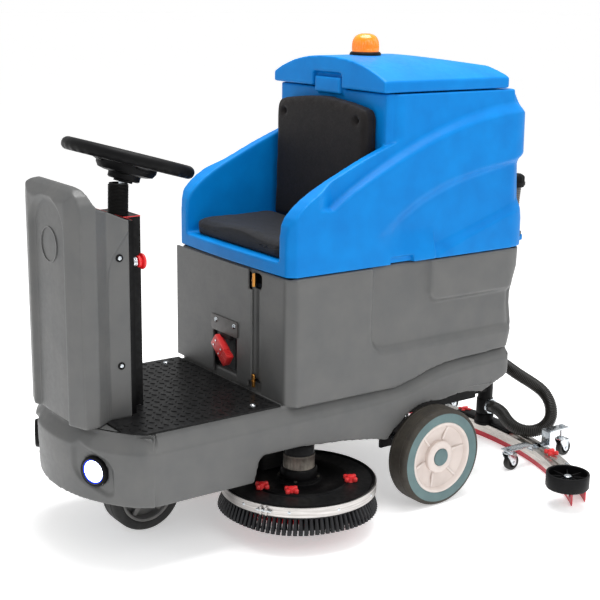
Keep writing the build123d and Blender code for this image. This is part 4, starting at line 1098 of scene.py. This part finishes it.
def make_deck():
    deck = Piece("deck_rims", STEEL_BLACK, ALUMINIUM, ZINC)
    for s in (1, -1):
        centre = (s * DECK_X, DECK_Y, 0)
        deck.ring([(196, 131.8), (201, 133), (204, 136), (206, 136), (206, 131), (202, 131)], centre, UP,
                  120)
        deck.ring([(60, 131.8), (96, 133.6), (100, 136), (132, 136.6), (136, 131.6)], centre, UP, 96)
        # clasp that tightens the band
        for angle in (-62, -58):
            a = radians(angle)
            at = centre[0] + s * 213 * cos(a), DECK_Y + 213 * sin(a)
            deck.add(moved(block(-5, 5, -3, 3, 108, 130, 1), (*at, 0), Matrix.Rotation(s * a, 3, "Z")), 1)
        a = radians(-60)
        at = Vector((centre[0] + s * 215 * cos(a), DECK_Y + 215 * sin(a), 119))
        along = Vector((-sin(a) * s, cos(a), 0))
        deck.add(rod(at - along * 22, at + along * 22, 3, 16), 2)
        for k in range(10):
            a = radians(-150 + 36 * k)
            spot = (centre[0] + 208.5 * cos(a), DECK_Y + 208.5 * sin(a), 119)
            deck.turned([(4.4, 0), (4.2, 1.6), (2.6, 2.6), (0.1, 2.6)], spot,
                        (cos(a), sin(a), 0), 14, 2)
    deck.make("brush_deck", "black_steel")
    motors = Piece("brush_motor_skin", STEEL_BLACK, MOTOR)
    for s in (1, -1):
        centre = (s * DECK_X, DECK_Y, 132)
        motors.ring([(13, 0), (58, 0), (58, 5), (50, 7), (50, 30), (47, 34), (13, 34)], centre, UP, 72)
        fins = lambda a, i: 1 + (0.018 * cos(30 * a) if i in (2, 3) else 0)
        motors.turned([(30, 34), (43, 35), (42, 38), (42, 66), (43, 68), (43, 72), (30, 73)], centre, UP,
                      180, 1, wave=fins)
        motors.turned([(30, 73), (41, 73), (41, 94), (37, 101), (28, 104), (0.1, 104)], centre, UP, 60)
        for k in range(4):
            a = pi / 4 + k * pi / 2
            foot = (centre[0] + 52 * cos(a), DECK_Y + 52 * sin(a), 137)
            motors.turned([(5, 0), (5, 4), (0.1, 4)], foot, UP, 6, 1)
    motors.make("brush_deck", "black_steel", "brush_motors")
    knobs = Piece("deck_knob_skin", RED)
    for angle, reach in ((45, 140), (-45, 112), (-85, 126)):
        for form in star_knob(*polar(reach, angle, DECK_X, DECK_Y), 132):
            knobs.pair(form)
    knobs.make("brush_deck", "red_plastic", "deck_knobs")


def make_brushes():
    for sign, side in SIDES:
        x = sign * DECK_X
        brush = Piece(side + "_brush_skin", BRISTLE, BRISTLE_RED)
        brush.turned([(0.1, 118), (200, 118), (202, 116), (202, 100), (200, 98), (0.1, 98)],
                     (x, DECK_Y, 0), UP, 96)
        brush.turned([(0.1, 118), (12, 118), (12, 157), (10, 158), (0.1, 158)], (x, DECK_Y, 0), UP, 24)
        for reach, count in ((196, 92), (183, 86), (168, 78), (150, 68), (128, 56)):
            for k in range(count):
                a = 2 * pi * (k + 0.37 * (reach % 3)) / count
                lean = reach + 15 + 2.5 * sin(k * 12.9)
                c, s = cos(a), sin(a)
                high = (x + reach * c, DECK_Y + reach * s, 99)
                mid = (x + (lean - 3) * c, DECK_Y + (lean - 3) * s, 70)
                low = (x + lean * c, DECK_Y + lean * s, 58.2)
                brush.add(sweep([high, mid], [4.4, 5.6], 6))
                brush.add(sweep([mid, low], [5.6, 6.3], 6), 1 if reach < 160 else 0)
        brush.make(side + "_brush", "bristle", side + "_brush", smooth=50)


# ---- squeegee

ARC_CENTRE_Y, ARC_RADIUS = -440, 950
SWING_Y = 490
CASTER_X = 258
ROLLER_X, ROLLER_Y = 550, 286


def arc_point(x, offset=0.0):
    return x, ARC_CENTRE_Y + sqrt((ARC_RADIUS + offset) ** 2 - x * x)


def nut(spot, radius, height, top, crown):
    """A six-sided nut: its radius and height, then the radius and height of its chamfered crown."""
    return lathe([(radius, 0), (radius, height), (top, crown), (0.1, crown)], spot, UP, 6)


def arc_bar(half, inner, outer, z0, z1, bevel=0.0, steps=60):
    """A bar that follows the squeegee's arc between two offsets."""
    line = [-half + 2 * half * i / steps for i in range(steps + 1)]
    outline = [arc_point(x, outer) for x in line] + [arc_point(x, inner) for x in reversed(line)]
    return prism("z", outline, z0, z1, bevel, 2)


def make_squeegee():
    bar = Piece("squeegee_bar_skin", STAINLESS, BLACK, ZINC)
    bar.add(arc_bar(540, -29, 29, 44, 49, 1.2))
    bar.add(arc_bar(540, -29, -25, 20, 46, 1.0))
    bar.add(arc_bar(540, 25, 29, 20, 46, 1.0))
    # raised channel that stiffens the bar, under a black moulded hood
    bar.add(arc_bar(532, -9, 9, 48, 54, 2.5))
    bar.add(arc_bar(120, -24, 24, 48, 60, 5.0, 24), 1)
    for i in (*range(-6, -1), *range(2, 7)):
        x, y = arc_point(i * 82, 18)
        bar.add(nut((x, y, 49), 6, 3.4, 4, 4.4), 2)
    for s in (1, -1):
        roller_x = s * ROLLER_X
        end = arc_point(s * 528)
        arm = [(s * 512, end[1] + 12), (s * 512, end[1] - 30), (s * 536, 300), (s * 538, 272), (s * 562, 272),
               (s * 564, 300), (s * 558, end[1] + 12)]
        bar.add(prism("z", arm, 49, 55, 1.5))
        bar.add(rod((roller_x, ROLLER_Y, 50), (roller_x, ROLLER_Y, 92), 8, 24, 1), 2)
        bar.add(nut((roller_x, ROLLER_Y, 86), 12, 7, 10, 8.4), 2)
        # the strap that carries two casters: a low shelf ahead, a high one behind, and their risers
        x, middle = s * CASTER_X, arc_point(s * CASTER_X)[1]
        for y0, y1, z0, z1, bevel in (
                (330, middle - 40, 64, 68, 1), (middle + 30, 591, 92, 96, 1),
                (middle - 44, middle - 40, 50, 68, 0.8), (middle + 30, middle + 34, 50, 96, 0.8),
                (middle - 44, middle + 34, 49, 54, 1)):
            bar.add(block(x - 17, x + 17, y0, y1, z0, z1, bevel), 2)
        for y, z in ((347, 68), (574, 96)):
            bar.add(nut((x, y, z), 7.5, 5, 5, 6), 2)
        for y in (middle - 14, middle + 16):
            bar.add(nut((x, y, 54), 7, 4.6, 5, 5.4), 2)
    bar.ring([(22.2, 49), (32, 49), (32, 56), (30, 58), (30, 79), (28, 82), (22.2, 82)], (0, SWING_Y, 0),
             UP, 60, 1)
    bar.make("squeegee", "stainless", "squeegee_bar")
    blades = Piece("squeegee_blade_skin", RED_RUBBER)
    for offset in (-22.2, 22.2):
        blades.add(arc_bar(558, offset - 2.5, offset + 2.5, 6, 43, 0.8, 90))
        blades.add(arc_bar(558, offset - 1.6, offset + 1.6, 0.7, 8, 0.4, 90))
    blades.make("squeegee", "red_rubber", "squeegee_blades")
    knobs = Piece("squeegee_knob_skin", RED)
    for x in (-110, 110, -330, 330):
        spot = arc_point(x)
        for form in star_knob(spot[0], spot[1] + 4, 49, 0.5):
            knobs.add(form)
    knobs.make("squeegee", "red_plastic", "squeegee_knobs")
    for sign, side in SIDES:
        roller = Piece(side + "_bumper_roller_skin", BLACK)
        x, y = sign * ROLLER_X, ROLLER_Y
        roller.ring([(8.4, 58), (52, 58), (58, 60), (61, 65), (61, 100), (60, 103), (57, 104),
                     (54.5, 102), (54.5, 70), (50, 66), (20, 66), (18.5, 82), (17, 84), (8.4, 84)],
                    (x, y, 0), UP, 72)
        for k in range(8):
            turn = Matrix.Rotation(k * pi / 4, 3, "Z")
            roller.add(moved(block(17, 55, -1.6, 1.6, 65, 92, 0.8), (x, y, 0), turn))
        roller.make(side + "_bumper_roller", "black_plastic", side + "_bumper_roller")


def make_casters():
    for sign, side in SIDES:
        for end, y, z in (("front", 347, 64), ("rear", 574, 92)):
            x, wheel_y = sign * CASTER_X, y + 12
            fork = Piece(f"{side}_{end}_swivel_skin", ZINC)
            fork.turned([(15, 0), (15.5, 3), (13, 7), (9, 9), (5, 9), (5, z - 46), (0.1, z - 46)],
                        (x, y, 54), UP, 36)
            for cheek in (x - 14, x + 11):
                outline = [(y - 13, 57), (wheel_y + 9, 57), (wheel_y + 9, 40), (wheel_y + 8, 20),
                           (wheel_y, 15), (wheel_y - 8, 20), (y - 13, 48)]
                fork.add(prism("x", outline, cheek, cheek + 3, 0.8))
            fork.add(block(x - 14, x + 14, y - 13, wheel_y + 9, 54, 57, 0.8))
            fork.turned([(5, 0), (5, 31), (0.1, 31)], (x - 15.5, wheel_y, 25), (1, 0, 0), 6)
            fork.make(f"{side}_{end}_swivel", "zinc", f"{side}_{end}_swivel")
            wheel = Piece(f"{side}_{end}_caster_skin", RUBBER, BLACK)
            wheel.ring([(16, -9.6), (22, -9.8), (24.4, -7.6), (25, -4), (25, 4), (24.4, 7.6), (22, 9.8),
                        (16, 9.6)], (x, wheel_y, 25), (1, 0, 0))
            wheel.ring([(4.2, -9.8), (8, -9.8), (9, -6.5), (15, -6.5), (16.2, -9), (16.2, 9), (15, 6.5),
                        (9, 6.5), (8, 9.8), (4.2, 9.8)], (x, wheel_y, 25), (1, 0, 0), 36, 1)
            wheel.make(f"{side}_{end}_caster", "black_rubber", f"{side}_{end}_caster")


def make_hose_ends():
    elbow = Piece("hose_elbow_skin", BLACK, ZINC)
    bend = [(70, 290, 394), (70, 290, 350)]
    bend += [(70, 340 - 50 * cos(radians(a)), 350 - 50 * sin(radians(a)))
             for a in range(10, 91, 10)]
    bend += [(70, 352, 300)]
    elbow.add(sweep(bend, [23.5] * len(bend), 36))
    elbow.ring([(20.5, 0), (24, 0), (25.5, 1.5), (25.5, 8), (24, 9.5), (23.6, 24), (20.5, 24)],
               (70, 342, 300), (0, 1, 0))
    elbow.ring([(23.8, 0), (26.2, 0), (26.2, 7), (23.8, 7)], (70, 354, 300), (0, 1, 0), slot=1)
    elbow.add(block(84, 98, 355, 361, 296, 304, 1), 1)
    elbow.make("chassis", "black_plastic", "hose_elbow")
    nozzle = Piece("suction_nozzle_skin", BLACK, ZINC)
    nozzle.turned([(18, 44), (22, 44), (22, 82), (26, 84), (27, 87), (27, 131), (25, 135), (20, 136),
                   (0.1, 136)], (0, SWING_Y, 0))
    nozzle.turned([(22, 8), (23, 10), (23, 30), (20, 30)], (0, SWING_Y, 112), (1, 0, 0), 40)
    nozzle.ring([(20.4, 24), (24.2, 24), (24.2, 31), (20.4, 31)], (0, SWING_Y, 112), (1, 0, 0), 40, 1)
    nozzle.make("lift_arm", "black_plastic", "suction_nozzle")


for make in (make_hose, make_base, make_solution_tank, make_recovery_tank, make_lid, make_door, make_cushion,
             make_backrest, make_cowl, make_column_details, make_steering_wheel, make_headlights,
             make_footplate, make_beacon, make_drain, make_rear_wheels, make_front_wheel, make_deck,
             make_brushes, make_squeegee, make_casters, make_hose_ends):
    make()


# ---- lights, rest of the finishes

CAD_FINISH = {
    "main_frame": STEEL_BLACK, "rear_axle": ZINC, "footplate": STEEL_BLACK, "batteries": BATTERY,
    "steering_column": STEEL_BLACK, "vacuum_motor": MOTOR, "steering_shaft": ZINC,
    "drive_fork": STEEL_BLACK, "drive_motor": MOTOR, "brush_deck": STEEL_BLACK, "deck_bands": ALUMINIUM,
    "lift_arm": STEEL_BLACK, "drive_pedal": STEEL_BLACK,
}
for node, finish in CAD_FINISH.items():
    NODES[node].data.materials.clear()
    NODES[node].data.materials.append(finish)


def make_studio():
    floor = link("studio_floor", bpy.data.meshes.new("studio_floor"))
    reach = 60
    corners = [(-reach, -reach, 0), (reach, -reach, 0), (reach, reach, 0), (-reach, reach, 0)]
    floor.data.from_pydata(corners, [], [[0, 1, 2, 3]])
    floor.data.materials.append(material("studio_floor", "fafafa", "fdfdfd", 0.7, 0.02, bump=0, specular=0.1,
                                         emission="ffffff", strength=0.42))
    world = bpy.data.worlds.new("studio")
    world.use_nodes = True
    nodes, links = world.node_tree.nodes, world.node_tree.links
    nodes["Background"].inputs["Color"].default_value = (1, 1, 1, 1)
    seen = nodes.new("ShaderNodeLightPath")
    strength = nodes.new("ShaderNodeMapRange")
    strength.inputs["To Min"].default_value = 0.6
    strength.inputs["To Max"].default_value = 1.0
    links.new(seen.outputs["Is Camera Ray"], strength.inputs["Value"])
    links.new(strength.outputs["Result"], nodes["Background"].inputs["Strength"])
    scene.world = world
    lamps = (("key", (3.4, -0.4, 2.8), 2.2, 30), ("front", (-0.6, -3.6, 2.0), 2.2, 12),
             ("top", (0, 0.2, 3.4), 2.2, 105), ("rear", (1.6, 3.0, 2.4), 2.0, 14))
    for name, where, size, power in lamps:
        data = bpy.data.lights.new(name, "AREA")
        data.size, data.energy = size, power
        lamp = link(name, data)
        lamp.location = where
        lamp.rotation_euler = (Vector((0, 0, 0.5)) - Vector(where)).to_track_quat("-Z", "Y").to_euler()


make_studio()
scene.view_settings.view_transform = "Standard"
